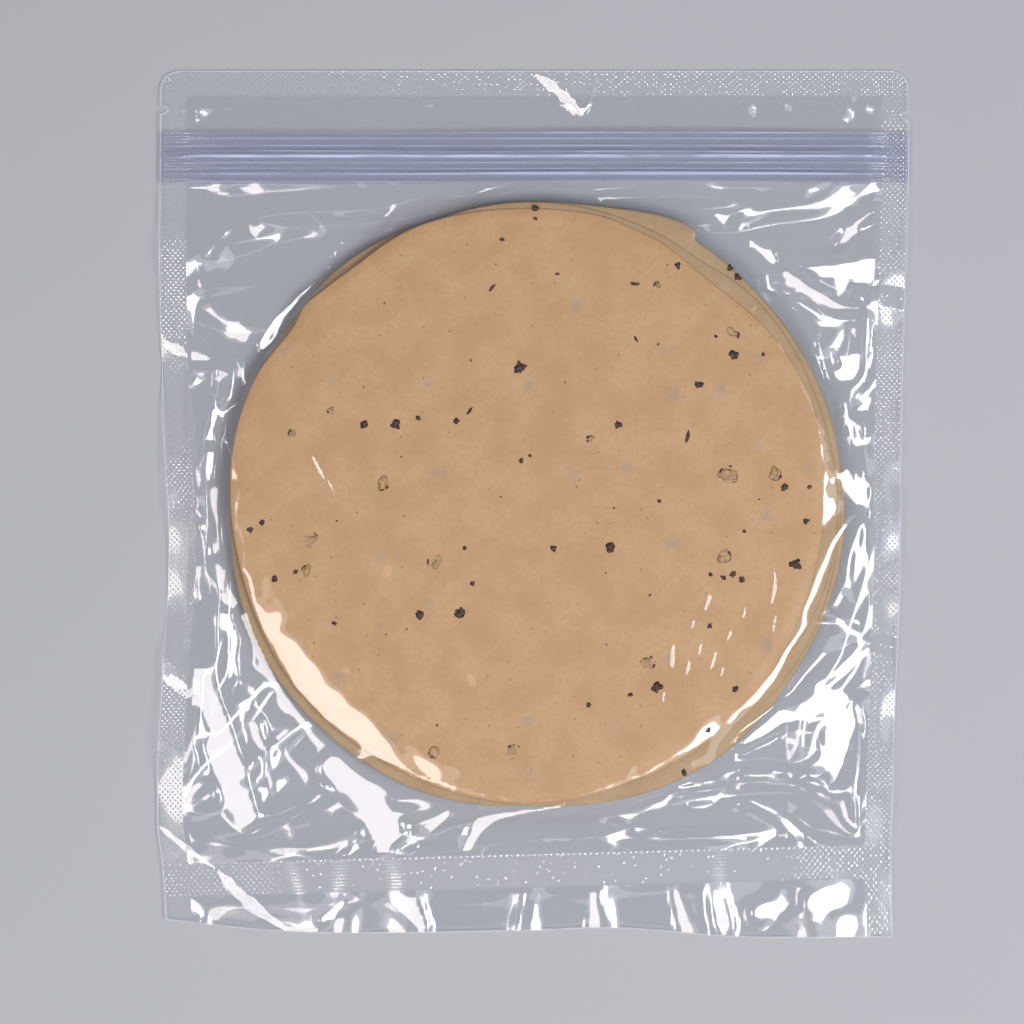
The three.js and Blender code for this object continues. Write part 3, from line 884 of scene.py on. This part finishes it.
def tubeFaces(rows, sides):
    # numbers of the points ring by ring, the same one side on, and the quads between the rings
    index = np.arange(rows * sides).reshape(rows, sides)
    turned = np.roll(index, -1, axis=1)
    quads = np.stack([index[:-1], index[1:], turned[1:], turned[:-1]], -1)
    return index, turned, quads.reshape(-1, 4).tolist()


def closedLoft(sections):
    # a tube through sections of equal length, with its two ends closed
    index, _, quads = tubeFaces(len(sections), len(sections[0]))
    return np.reshape(sections, (-1, 3)), quads + [index[0].tolist(), index[-1][::-1].tolist()]


def makeZip():
    across = np.linspace(zipLow.y, zipHigh.y, zipStrip["samples"])
    profile = zipProfile(across)
    left = float(leftEdge(across.mean())) + zipStrip["inset"]
    right = float(rightEdge(across.mean())) - zipStrip["inset"]
    sections = []
    for x in np.linspace(left, right, zipStrip["stations"]):
        inward = min(x - left, right - x) - pouch["sideSeal"]
        whole = between(zipStrip["crush"], 1, ease(inward, *zipStrip["crushRun"]))
        wave = zipStrip["wave"] * math.sin(x / zipStrip["waveLength"])
        floor = pouch["zipLift"] + zipStrip["seat"] + wave * whole
        bow = zipStrip["bow"] * math.sin(x / zipStrip["bowLength"] + zipStrip["bowShift"])
        there = np.full(len(across), x)
        top = np.stack([there, across + bow * whole, floor + zipStrip["base"] + profile * whole], -1)
        under = np.stack([there, across + bow * whole, np.full(len(across), floor)], -1)
        sections.append(np.concatenate([top, under[::-1]]))
    points, faces = closedLoft(sections)
    return addMesh("zip_profile", points, faces)


zipPiece = makeZip()
print("zip made")


# Papadum discs

disc = {
    "sectors": (480, 140),  # of the discs that show and the hidden ones
    "rings": (48, 20),
    "flatShare": 0.86,
    "thinFrom": 0.965,
    # the rim's section: share of the radius and of the thickness
    "edge": [(0.974, 0.10), (0.983, 0.24), (0.990, 0.38), (0.996, 0.52), (0.9992, 0.68), (1.0, 0.86),
             (0.998, 1.0)],
    "unevenness": 0.09,
    "swells": [(9, 14), (-17, 11)],  # lengths of its two waves along X and Y
    "swellShift": 1,
}


def makePapad(k):
    shown = k < papads["shown"]
    sectors = disc["sectors"][0 if shown else 1]
    half = disc["rings"][0 if k == 0 else 1] // 2
    inner = np.linspace(0, disc["flatShare"], half, endpoint=False)[1:]
    shares = np.concatenate([inner, np.linspace(disc["flatShare"], disc["thinFrom"], half)])
    angle = np.linspace(0, 2 * math.pi, sectors, endpoint=False)
    shiftX, shiftY = papads["shifts"][k]
    rim = papadRim(k, angle)
    thick = papads["thickness"]

    def ring(share, down):
        x = shiftX + share * rim * np.cos(angle)
        y = shiftY + share * rim * np.sin(angle)
        z = np.maximum(papadTop(k, angle, share) - down, papads["lowest"])
        if k == 0 and down == 0:
            (a, b), (c, d) = disc["swells"]
            z = z + disc["unevenness"] * np.sin(x / a + y / b) * np.sin(x / c + y / d + disc["swellShift"])
        return np.stack([x, y, z], -1)

    upper = [ring(share, 0) for share in shares]
    edge = [ring(share, down * thick) for share, down in disc["edge"]]
    lower = [ring(share, thick) for share in shares[::-1]]
    rows = np.array(upper + edge + lower)
    index, turned, quads = tubeFaces(len(rows), sectors)
    high = float(papadTop(k, 0.0, 0.0))
    middles = [[shiftX, shiftY, high], [shiftX, shiftY, high - thick]]
    points = np.concatenate([rows.reshape(-1, 3), middles])
    fans = [[index.size, a, b] for a, b in zip(index[0].tolist(), turned[0].tolist())]
    fans += [[index.size + 1, b, a] for a, b in zip(index[-1].tolist(), turned[-1].tolist())]
    return addMesh(f"papadum_{k + 1:02d}", points, quads + fans)


discs = [makePapad(k) for k in range(papads["count"])]
print("papadums made")


# Cracked pepper and pale husks pressed into the top disc

specks = {
    # place and length
    "pepper": [(-3.9, 37.5, 3.0), (-46.4, 21.9, 2.2), (-37.8, 22.2, 2.6), (-31.7, 23.6, 1.4),
               (-21.1, 22.8, 1.8), (6.7, 63.3, 1.1), (-8.6, 72.8, 1.1), (0.6, 81.4, 1.6),
               (0.6, 78.6, 1.0), (55.0, 41.1, 2.8), (45.6, 32.8, 2.0), (39.7, 65.6, 1.8),
               (23.6, 21.9, 2.1), (34.7, 0.8, 1.2), (-3.3, 11.9, 1.3), (-0.8, 13.3, 1.0),
               (5.6, -12.2, 1.6), (21.1, -11.9, 2.8), (-18.9, -12.2, 1.2), (-16.7, -21.9, 1.3),
               (-31.1, -30.3, 2.3), (-20.0, -30.0, 2.8), (33.9, -50.3, 3.0), (26.9, -52.5, 1.2),
               (15.3, -55.3, 1.3), (55.6, -51.1, 1.6), (48.6, -33.6, 1.2), (72.2, -16.7, 2.8),
               (75.0, -4.7, 1.6), (69.2, 4.7, 1.9), (76.1, 4.7, 1.2), (58.1, -7.5, 1.0),
               (-74.5, -5.0, 1.5), (-77.8, -7.2, 1.6), (-71.1, -20.8, 1.8), (-65.3, -18.6, 1.2),
               (-54.7, -32.8, 1.2), (52.5, -20.3, 1.4), (55.0, -19.2, 1.6), (57.5, -20.8, 1.5),
               (48.9, -19.4, 1.1), (50.3, 46.1, 1.0), (63.3, 41.1, 1.0), (41.7, -74.0, 1.6),
               (48.1, -62.2, 1.7), (54.3, 65.0, 1.6), (56.4, 62.6, 1.9)],
    "slivers": [(-17.5, 25.6, 2.4, 55), (-11.4, 59.4, 2.6, 48), (28.1, 60.6, 2.8, -5), (42.5, 18.6, 3.0, 75),
                (28.3, 45.3, 2.0, -60)],  # and the turn in degrees
    "husks": [(-26.7, -15.8, 4.4), (53.6, 8.3, 4.8), (66.4, 8.3, 3.8), (-61.4, -10.0, 4.6),
              (-61.9, -18.3, 3.2), (31.7, -43.6, 3.8), (52.5, -14.7, 4.2), (-27.2, -67.8, 3.4),
              (-5.3, -68.1, 4.2), (-41.7, 5.6, 3.6), (-66.1, 19.4, 2.4), (-55.6, 25.8, 2.2),
              (54.7, 46.9, 3.6), (34.4, 60.3, 1.8), (15.8, 17.8, 2.0)],
    "pepperDetail": 2,
    "huskDetail": 3,
    "core": 0.95,  # a grain's main lump, as a share of its length
    "coreSlim": (0.7, 0.95),
    "knobs": 4,  # smaller lumps that make up each grain
    "knobReach": 0.4,
    "knobSize": (0.32, 0.6),
    "slim": (0.6, 1),
    "around": (0.7, 1.1),  # how much their distance from the middle differs
    "sliverSlim": 0.3,
    "rough": (0.22, 0.35),  # unevenness and its limit
    "crumbs": 45,
    "crumbSize": (0.25, 0.7),
    "crumbReach": 76.0,
    "tall": 0.26,
    "tallShare": 0.3,  # of the length, on small ones
    "sunk": 0.12,
    "lie": 0.75,
    "lobes": (2, 4),
    "lobeStep": (1.6, 2.4),  # turn from one to the next
    "lobeSize": (0.7, 1.05),
    "lobeSlim": (0.3, 0.42),
    "lobeOff": 0.17,
    "lobeTurn": 0.8,
    "lobeRough": (0.08, 0.16),
    "lobeLower": 0.2,
    "huskTall": 0.3,
    "huskSunk": 0.1,
    "shellReach": 0.5,
    "shellAround": (0.85, 1.1),
    "shellSlim": (0.3, 0.6),
    "shellBits": 3,  # dark bits of skin round each husk
    "shellSize": (0.5, 1.2),
    "shellSpan": 2.0,  # the part of the turn that they cover
}


def unitPebble(detail):
    maker = bmesh.new()
    bmesh.ops.create_icosphere(maker, subdivisions=detail, radius=1)
    maker.verts.ensure_lookup_table()
    points = np.array([v.co for v in maker.verts])
    faces = np.array([[v.index for v in face.verts] for face in maker.faces])
    maker.free()
    return points, faces


def uneven(points, amount, limit):
    return points * (1 + np.clip(amount * rng.standard_normal(len(points)), -limit, limit))[:, None]


def joined(name, bits, smooth=True):
    points, faces, count = [], [], 0
    for bitPoints, bitFaces in bits:
        points.append(bitPoints)
        faces += [[corner + count for corner in face] for face in bitFaces]
        count += len(bitPoints)
    return addMesh(name, np.concatenate(points), faces, smooth=smooth)


def laid(points, x, y, turn, high):
    c, s = math.cos(turn), math.sin(turn)
    px = x + c * points[:, 0] - s * points[:, 1]
    py = y + s * points[:, 0] + c * points[:, 1]
    ground = stackTop(np.array([x]), np.array([y]))[0]
    return np.stack([px, py, ground + high + points[:, 2]], -1)


def makePepper():
    base, faces = unitPebble(specks["pepperDetail"])
    wanted = []
    for x, y, long in specks["pepper"]:
        slim = rng.uniform(*specks["coreSlim"])
        wanted.append((x, y, specks["core"] * long, slim, rng.uniform(0, math.pi)))
        for _ in range(specks["knobs"]):
            turn = rng.uniform(0, 2 * math.pi)
            reach = specks["knobReach"] * long * rng.uniform(*specks["around"])
            spot = (x + reach * math.cos(turn), y + reach * math.sin(turn))
            size = long * rng.uniform(*specks["knobSize"])
            wanted.append((*spot, size, rng.uniform(*specks["slim"]), turn))
    for x, y, long, turn in specks["slivers"]:
        wanted.append((x, y, long, specks["sliverSlim"], math.radians(turn)))
    for _ in range(specks["crumbs"]):
        reach = specks["crumbReach"] * math.sqrt(rng.uniform())
        turn = rng.uniform(0, 2 * math.pi)
        long = rng.uniform(*specks["crumbSize"])
        spot = (reach * math.cos(turn), reach * math.sin(turn))
        wanted.append((*spot, long, rng.uniform(*specks["slim"]), turn))
    for x, y, long in specks["husks"]:
        start = rng.uniform(0, 2 * math.pi)
        for _ in range(specks["shellBits"]):
            turn = start + specks["shellSpan"] * rng.uniform()
            reach = specks["shellReach"] * long * rng.uniform(*specks["shellAround"])
            bit = rng.uniform(*specks["shellSize"])
            spot = (x + reach * math.cos(turn), y + reach * math.sin(turn))
            wanted.append((*spot, bit, rng.uniform(*specks["shellSlim"]), turn + math.pi / 2))
    bits = []
    for x, y, long, slim, turn in wanted:
        tall = min(specks["tall"], long * specks["tallShare"])
        points = uneven(base, *specks["rough"]) * (long / 2, slim * long / 2, tall)
        bits.append((laid(points, x, y, turn, tall * specks["lie"] - specks["sunk"]), faces))
    return joined("pepper_bits", bits)


def makeHusks():
    # two or three flat lobes each
    base, faces = unitPebble(specks["huskDetail"])
    bits = []
    for x, y, long in specks["husks"]:
        turn = rng.uniform(0, 2 * math.pi)
        for lobe in range(rng.integers(*specks["lobes"])):
            way = turn + lobe * rng.uniform(*specks["lobeStep"])
            size = long * rng.uniform(*specks["lobeSize"])
            shape = uneven(base, *specks["lobeRough"])
            slim = rng.uniform(*specks["lobeSlim"])
            tall = specks["huskTall"] * (1 - specks["lobeLower"] * lobe)
            reach = specks["lobeOff"] * long
            spot = (x + reach * math.cos(way), y + reach * math.sin(way))
            lie = turn + specks["lobeTurn"] * rng.uniform(-1, 1)
            points = shape * (size / 2, slim * size, tall)
            bits.append((laid(points, *spot, lie, -specks["huskSunk"]), faces))
    return joined("husk_lobes", bits)


def filmLevel(x, y):
    # height of the front film near a place
    near = np.hypot(frontPlaces[..., 0] - x, frontPlaces[..., 1] - y).argmin()
    return frontPlaces[..., 2].flat[near] + film["gauge"] / 2


def makeCreases():
    # slim folds that stand up from the film and fall to one side
    along = np.linspace(-1, 1, film["creaseStations"])
    bits = []
    for x, y, half, wide, degrees, side in film["creases"]:
        turn = math.radians(degrees)
        c, s = math.cos(turn), math.sin(turn)
        fallX, fallY = facetFall(side, x, y)
        slope = fallY * c - fallX * s
        bow = film["creaseBow"] * half * rng.uniform(-1, 1) * (1 - along ** 2)
        ragged = 1 + film["creaseRagged"] * rng.uniform(-1, 1, len(along))
        width = wide * np.sqrt(1 - (film["creaseTaper"] * along) ** 2) * ragged
        middle = np.stack([x + c * along * half - s * bow, y + s * along * half + c * bow], -1)
        low = np.quantile([filmLevel(*spot) for spot in middle], film["creaseLevel"])
        across = np.stack([-width / 2, width / 2], -1)
        over = np.stack([middle[:, :1] - s * across, middle[:, 1:] + c * across, low - slope * across], -1)
        over[..., 2] += abs(slope) * wide / 2
        under = over.copy()
        under[..., 2] = over[..., 2] - film["gauge"] if side == "left" else low - film["gauge"]
        bits.append(closedLoft(np.concatenate([under[:, :1], over, under[:, 1:]], 1)))
    return joined("film_creases", bits, False)


def makeCutEdge():
    # the pouch's outline: up the left side, over the top, down the right side and back along the hem
    leftSeal = np.flatnonzero(fine["across"] <= 1)
    rightSeal = np.flatnonzero(fine["across"] >= 2)
    inner = np.flatnonzero((grid["across"] > 1) & (grid["across"] < 2))
    hem = [seals[0, rightSeal[::-1]][1:], frontPlaces[0, inner[::-1]], seals[0, leftSeal[::-1]][:-1]]
    route = np.concatenate([seals[:-1, 0], seals[-1, :-1], seals[:0:-1, -1], seals[0, -1:], *hem])
    ahead = np.roll(route, -1, axis=0) - np.roll(route, 1, axis=0)
    ahead = ahead / np.linalg.norm(ahead, axis=1, keepdims=True)
    out = np.stack([-ahead[:, 1], ahead[:, 0], 0 * ahead[:, 0]], -1)
    up = np.array([0, 0, 1.0])
    half = pouch["cutEdge"] / 2
    turns = np.linspace(0, 2 * math.pi, pouch["cutEdgeSides"], endpoint=False)
    rows = np.stack([route + half * (math.cos(turn) * out + math.sin(turn) * up) for turn in turns], 1)
    index = np.arange(rows.shape[0] * rows.shape[1]).reshape(rows.shape[:2])
    later = np.roll(index, -1, axis=0)
    quads = np.stack([index, np.roll(index, -1, axis=1), np.roll(later, -1, axis=1), later], -1)
    return addMesh("cut_edge", rows.reshape(-1, 3), quads.reshape(-1, 4).tolist())


pepperPiece = makePepper()
huskPiece = makeHusks()
creasePiece = makeCreases()
edgePiece = makeCutEdge()
print("pepper, husks, creases and cut edge made")


# Finishes

class Value:
    # a node's output that takes part in sums
    def __init__(self, finish, socket):
        self.finish = finish
        self.socket = socket

    def math(self, operation, *others):
        return self.finish.node("Math", {"operation": operation}, dict(enumerate((self,) + others)))

    def __add__(self, other):
        return self.math("ADD", other)

    def __sub__(self, other):
        return self.math("SUBTRACT", other)

    def __rsub__(self, other):
        return self * -1 + other

    def __mul__(self, other):
        return self.math("MULTIPLY", other)

    def __pow__(self, other):
        return self.math("POWER", other)

    __radd__ = __add__
    __rmul__ = __mul__


class Finish:
    def __init__(self, name):
        self.material = bpy.data.materials.new(name)
        self.material.use_nodes = True
        self.nodes = self.material.node_tree.nodes
        self.links = self.material.node_tree.links
        self.nodes.clear()

    def node(self, kind, settings=None, sockets=None, out=0):
        made = self.nodes.new("ShaderNode" + kind)
        for key, value in (settings or {}).items():
            setattr(made, key, value)
        for key, value in (sockets or {}).items():
            if isinstance(value, Value):
                self.links.new(value.socket, made.inputs[key])
            else:
                made.inputs[key].default_value = value
        return Value(self, made.outputs[out]) if len(made.outputs) else None

    def place(self, scale=1.0, stretch=(1, 1, 1), turn=0.0):
        # the piece's own place in millimetres, turned about Z and stretched
        spot = self.node("TexCoord", None, None, 3)
        size = [scale * v / mm for v in stretch]
        spot = self.node("Mapping", None, {"Vector": spot, "Rotation": (0, 0, turn)})
        return self.node("VectorMath", {"operation": "MULTIPLY"}, {0: spot, 1: size})

    def noise(self, width, detail=2.0, stretch=(1, 1, 1), turn=0.0):
        # soft noise from 0 to 1 over the plane, with patches about that many millimetres wide
        sockets = {"Vector": self.place(1 / width, stretch, turn), "Scale": 1.0, "Detail": detail}
        return self.node("TexNoise", {"noise_dimensions": "2D"}, sockets)

    def patches(self, width, detail, low, high, stretch=(1, 1, 1), turn=0.0):
        # 0 where noise of that width and detail is below the low level, 1 above the high one
        return self.smooth(self.noise(width, detail, stretch, turn), low, high)

    def cells(self, width):
        # distance to scattered points in the plane, and a random number for each point
        sockets = {"Vector": self.place(1 / width), "Scale": 1.0}
        away = self.node("TexVoronoi", {"voronoi_dimensions": "2D"}, sockets)
        return away, self.node("SeparateColor", None, {0: Value(self, away.socket.node.outputs[1])})

    def mixColour(self, share, a, b):
        ends = {key: v if isinstance(v, Value) else (*v, 1) for key, v in ((6, a), (7, b))}
        return self.node("Mix", {"data_type": "RGBA"}, {0: share, **ends}, 2)

    def smooth(self, value, low, high):
        return self.node("MapRange", {"interpolation_type": "SMOOTHSTEP"}, {0: value, 1: low, 2: high})

    def facing(self):
        return self.node("LayerWeight", None, {"Blend": 0.5}, 1)

    def clear(self, colour):
        return self.node("BsdfTransparent", None, {"Color": (*colour, 1)})

    def skin(self, colour, roughness, specular=0.5):
        paint = colour if isinstance(colour, Value) else (*colour, 1)
        sockets = {"Base Color": paint, "Roughness": roughness, "Specular IOR Level": specular}
        return self.node("BsdfPrincipled", None, sockets)

    def blend(self, share, a, b):
        return self.node("MixShader", None, {0: share, 1: a, 2: b})

    def close(self, shader):
        self.node("OutputMaterial", None, {"Surface": shader})
        return self.material


filmLook = {
    "clear": (0.984, 0.988, 0.996),
    "gloss": 0.072,  # of both faces of a sheet together, seen straight on
    "faceGloss": 0.037,  # of one face of a thicker piece
    "roughness": 0.06,
    "sealRoughness": 0.09,
    # painted highlight: a pale haze on the tips of the seal's dots stands in for their glints
    "dotPaintedGlint": 0.10,
    "dotGlintRise": (0.1, 0.6),  # shares of a dot's height over which the painted glint comes up
    "dotGlintColour": (0.92, 0.94, 0.98),
    "dotGlintRoughness": 0.3,
    # the cut edge's pale patchy haze: partly its own haze, partly a painted highlight of the edge catching
    # the light
    "cutColour": (0.86, 0.89, 0.93),
    "cutRoughness": 0.35,
    "glossPower": 5,  # how steeply it grows towards a glancing view
    "cutPatches": (9.0, 2.0, 0.3, 0.7),  # what Finish.patches takes, as in the looks below
    "cutHazeAndHighlight": (0.25, 0.3),  # least, and how much the patches add
}


def glaze(f, under, gloss, roughness):
    # a clear gloss over another shader
    share = (1 - gloss) * f.facing() ** filmLook["glossPower"] + gloss
    glossAndPaintedShine = {"Base Color": (1, 1, 1, 1), "Metallic": 1.0, "Roughness": roughness}
    return f.blend(share, under, f.node("BsdfPrincipled", None, glossAndPaintedShine))


def clearFilm(name, gloss):
    f = Finish(name)
    return f.close(glaze(f, f.clear(filmLook["clear"]), gloss, filmLook["roughness"]))


def weldedFilm():
    f = Finish("welded film")
    clear = f.clear(filmLook["clear"])
    raised = f.node("Attribute", {"attribute_name": "raised"}, None, 2)
    # pale diffuse on the dot tips: a painted highlight
    paintedGlint = f.skin(filmLook["dotGlintColour"], filmLook["dotGlintRoughness"])
    dots = f.blend(f.smooth(raised, *filmLook["dotGlintRise"]) * filmLook["dotPaintedGlint"], clear, paintedGlint)
    return f.close(glaze(f, dots, filmLook["gloss"], filmLook["sealRoughness"]))


def cutPlastic():
    f = Finish("cut edge")
    clear = f.clear(filmLook["clear"])
    # pale patches on the edge: partly haze, partly painted highlight
    pale = f.skin(filmLook["cutColour"], filmLook["cutRoughness"])
    least, more = filmLook["cutHazeAndHighlight"]
    patchyHazeAndHighlight = f.patches(*filmLook["cutPatches"]) * more + least
    return f.close(f.blend(patchyHazeAndHighlight, clear, pale))


def zipPlastic():
    f = Finish("zip plastic")
    across = f.node("SeparateXYZ", None, {0: f.place()})
    up = Value(f, across.socket.node.outputs[1])
    whole = 1 - f.smooth(across.math("ABSOLUTE"), *zipStrip["paintedShineEnds"])
    clear = f.clear(zipStrip["clear"])
    plastic = f.skin(zipStrip["colour"], zipStrip["roughness"])
    tinted = f.blend(f.facing() * zipStrip["edgeTint"] + zipStrip["milk"], clear, plastic)
    # painted highlights: pale lines along the tracks and ribs, broken into dashes
    paintedShine = f.skin(zipStrip["paintedShineColour"], zipStrip["paintedShineRoughness"])
    least, more = zipStrip["paintedShineBreakShare"]
    broken = f.patches(*zipStrip["paintedShineBreaks"]) * more + least
    glossAndPaintedShine = 0
    for place, half, share in zipStrip["glossAndPaintedShine"]:
        line = 1 - f.smooth((up - place).math("ABSOLUTE"), half * zipStrip["paintedShineCore"], half)
        glossAndPaintedShine = glossAndPaintedShine + line * share
    glossAndPaintedShine = glossAndPaintedShine * broken * whole
    withPaintedShine = f.blend(glossAndPaintedShine, tinted, paintedShine)
    return f.close(glaze(f, withPaintedShine, filmLook["faceGloss"], zipStrip["glazeRoughness"]))


doughLook = {
    "pale": (0.611, 0.373, 0.187),
    "tan": (0.561, 0.328, 0.152),
    "streak": (0.640, 0.412, 0.224),
    "grain": (0.512, 0.291, 0.130),
    "sunkPepper": (0.36, 0.30, 0.25),
    "dot": (0.28, 0.10, 0.05),
    "roughness": 0.5,
    "specular": 0.35,
    "underPaintedShade": (0.82, 0.91, 1.0),  # painted shade: the discs below the top one are made darker and greyer, for the shade between the discs
    "palePatches": (11.0, 4.0, 0.3, 0.7),
    "rolled": (5.0, 3.0, 0.5, 0.75, (0.2, 1, 1), -0.75),  # drawn out by rolling
    "streakShare": 0.3,
    "grainPatches": (1.5, 3.0, 0.4, 0.7),
    "grainShare": 0.3,
    # blots of pepper below the surface, round some of a set of scattered points
    "blotSpacing": 13.0,
    "blotRagged": [{"width": 1.3, "detail": 3.0}, {"width": 4.0, "detail": 2.0, "turn": 0.6}],
    "raggedShare": 0.3,
    "blotGrowth": 0.1,  # how much larger the strongest are
    "blotEdge": (0.2, 0.4),
    "blotLot": (0.62, 0.95),  # points whose random number is below this show nothing, above it the full share
    "blotShare": 0.5,
    # small dots, likewise
    "dotSpacing": 6.0,
    "dotEdge": (0.03, 0.06),
    "dotLot": (0.8, 0.95),
    "dotShare": 0.7,
}


def dough(name, paintedShade):
    f = Finish(name)
    colour = f.mixColour(f.patches(*doughLook["palePatches"]), doughLook["tan"], doughLook["pale"])
    rolled = f.patches(*doughLook["rolled"])
    colour = f.mixColour(rolled * doughLook["streakShare"], colour, doughLook["streak"])
    grain = f.patches(*doughLook["grainPatches"])
    colour = f.mixColour(grain * doughLook["grainShare"], colour, doughLook["grain"])
    away, lot = f.cells(doughLook["blotSpacing"])
    fine, broad = (f.noise(**kind) * doughLook["raggedShare"] for kind in doughLook["blotRagged"])
    away = away + (fine + broad) - lot * doughLook["blotGrowth"]
    blot = (1 - f.smooth(away, *doughLook["blotEdge"])) * f.smooth(lot, *doughLook["blotLot"])
    colour = f.mixColour(blot * doughLook["blotShare"], colour, doughLook["sunkPepper"])
    away, lot = f.cells(doughLook["dotSpacing"])
    fleck = (1 - f.smooth(away, *doughLook["dotEdge"])) * f.smooth(lot, *doughLook["dotLot"])
    colour = f.mixColour(fleck * doughLook["dotShare"], colour, doughLook["dot"])
    # painted shade: on the discs below the top one the colour is multiplied down
    colour = f.node("VectorMath", {"operation": "MULTIPLY"}, {0: colour, 1: paintedShade})
    return f.close(f.skin(colour, doughLook["roughness"], doughLook["specular"]))


speckLook = {
    "pepperDark": (0.030, 0.012, 0.010),
    "pepperBrown": (0.13, 0.05, 0.026),
    "pepperPatches": (0.8, 2.0, 0.45, 0.7),
    "pepperRoughness": 0.55,
    "huskTan": (0.46, 0.275, 0.135),
    "huskPale": (0.60, 0.375, 0.18),
    "huskPatches": (2.2, 2.0, 0.4, 0.6),
    "huskSpot": (0.46, 0.24, 0.07),
    "huskSpots": (0.9, 2.0, 0.55, 0.7),
    "huskSpotShare": 0.8,
    "huskRim": (0.30, 0.13, 0.03),
    "huskRimLevel": (0.95, 0.995),  # of the normal's Z, from brown to pale
    "huskRimBreaks": (1.4, 2.0, 0.3, 0.55),
    "huskRimShare": 0.9,
    "huskClear": (0.95, 0.9, 0.82),
    "huskRoughness": 0.5,
    "huskCover": 0.88,  # the rest shows the dough through it
}


def pepperSkin():
    f = Finish("cracked pepper")
    patches = f.patches(*speckLook["pepperPatches"])
    colour = f.mixColour(patches, speckLook["pepperDark"], speckLook["pepperBrown"])
    return f.close(f.skin(colour, speckLook["pepperRoughness"]))


def huskSkin():
    f = Finish("pale husk")
    patches = f.patches(*speckLook["huskPatches"])
    colour = f.mixColour(patches, speckLook["huskTan"], speckLook["huskPale"])
    spots = f.patches(*speckLook["huskSpots"])
    colour = f.mixColour(spots * speckLook["huskSpotShare"], colour, speckLook["huskSpot"])
    # brown where the lobe slopes down to its rim
    normal = f.node("NewGeometry", None, None, 1)
    level = f.node("SeparateXYZ", None, {0: normal}, 2)
    rim = (1 - f.smooth(level, *speckLook["huskRimLevel"])) * f.patches(*speckLook["huskRimBreaks"])
    colour = f.mixColour(rim * speckLook["huskRimShare"], colour, speckLook["huskRim"])
    skin = f.skin(colour, speckLook["huskRoughness"])
    return f.close(f.blend(speckLook["huskCover"], f.clear(speckLook["huskClear"]), skin))


finishes = {
    "film": clearFilm("clear film", filmLook["gloss"]),
    "crease": clearFilm("creased film", filmLook["faceGloss"]),
    "weld": weldedFilm(),
    "cut": cutPlastic(),
    "zip": zipPlastic(),
    "dough": dough("papadum dough", (1, 1, 1)),
    "under": dough("lower papadum dough with painted shade", doughLook["underPaintedShade"]),
    "pepper": pepperSkin(),
    "husk": huskSkin(),
}


def dress(piece, finish, node):
    piece.data.materials.append(finishes[finish])
    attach(piece, body)
    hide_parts(node)


for piece in (frontFilm, backFilm, headerFilm, skirtFront, skirtBack):
    dress(piece, "film", "pouch")
dress(creasePiece, "crease", "pouch")
dress(edgePiece, "cut", "pouch")
for piece in (edgeSeal, bottomSeal):
    dress(piece, "weld", "pouch")
dress(zipPiece, "zip", "zip_strip")
for k, piece in enumerate(discs):
    dress(piece, "under" if k else "dough", "pouch")
dress(pepperPiece, "pepper", "pouch")
dress(huskPiece, "husk", "pouch")
print("finishes given")


# Floor, light and camera

studio = {
    "floorColour": (0.46, 0.46, 0.47),
    "floorRoughness": 0.8,
    "floorHalf": 3000.0,
    "pixel": 0.2778,  # millimetres a pixel of the picture
    "frame": 1024,
    "aim": (-5.8, -2.2),
    "distance": 900.0,
    "sensor": 36.0,
    # on each side a wide dim softbox behind a small bright one: turn and height in degrees, then the colour
    "sides": [(221, 62, (1.0, 0.92, 0.91)), (-27, 62, (0.93, 0.96, 1.0))],
    # side, then distance, width and height in metres, and brightness
    "boxes": [(0, 1.55, 0.85, 0.78, 1.2), (0, 1.45, 0.54, 0.49, 6.4), (1, 1.55, 1.30, 0.70, 1.7),
              (1, 1.45, 0.74, 0.44, 11.0)],
    "sky": (0.15, 0.165, 0.20),
    "clearLayers": 32,  # that a ray may pass
}


def makeFloor():
    half = studio["floorHalf"]
    corners = [(-half, -half, 0), (half, -half, 0), (half, half, 0), (-half, half, 0)]
    floor = addMesh("floor", corners, [(0, 1, 2, 3)])
    f = Finish("pale floor")
    floor.data.materials.append(f.close(f.skin(studio["floorColour"], studio["floorRoughness"])))


def makeLight(number, side, distance, wide, tall, brightness):
    turn, lift, colour = studio["sides"][side]
    lamp = bpy.data.lights.new(f"softbox_{number}", "AREA")
    lamp.shape = "RECTANGLE"
    lamp.size = wide
    lamp.size_y = tall
    lamp.energy = brightness * math.pi * wide * tall
    lamp.color = colour
    holder = bpy.data.objects.new(lamp.name, lamp)
    bpy.context.scene.collection.objects.link(holder)
    a, b = math.radians(turn), math.radians(lift)
    way = (math.cos(a) * math.cos(b), math.sin(a) * math.cos(b), math.sin(b))
    holder.location = [distance * v for v in way]
    holder.rotation_euler = (math.pi / 2 - b, 0, a + math.pi / 2)


def makeCamera():
    lens = bpy.data.cameras.new("camera")
    lens.sensor_width = studio["sensor"]
    lens.lens = lens.sensor_width * studio["distance"] / (studio["pixel"] * studio["frame"])
    eye = bpy.data.objects.new("camera", lens)
    bpy.context.scene.collection.objects.link(eye)
    eye.location = (studio["aim"][0] * mm, studio["aim"][1] * mm, studio["distance"] * mm)
    bpy.context.scene.camera = eye


makeFloor()
for number, box in enumerate(studio["boxes"]):
    makeLight(number, *box)
makeCamera()
scene = bpy.context.scene
scene.world = bpy.data.worlds.new("studio")
scene.world.use_nodes = True
scene.world.node_tree.nodes["Background"].inputs[0].default_value = (*studio["sky"], 1)
scene.view_settings.view_transform = "Standard"
scene.cycles.transparent_max_bounces = studio["clearLayers"]
print("studio ready")
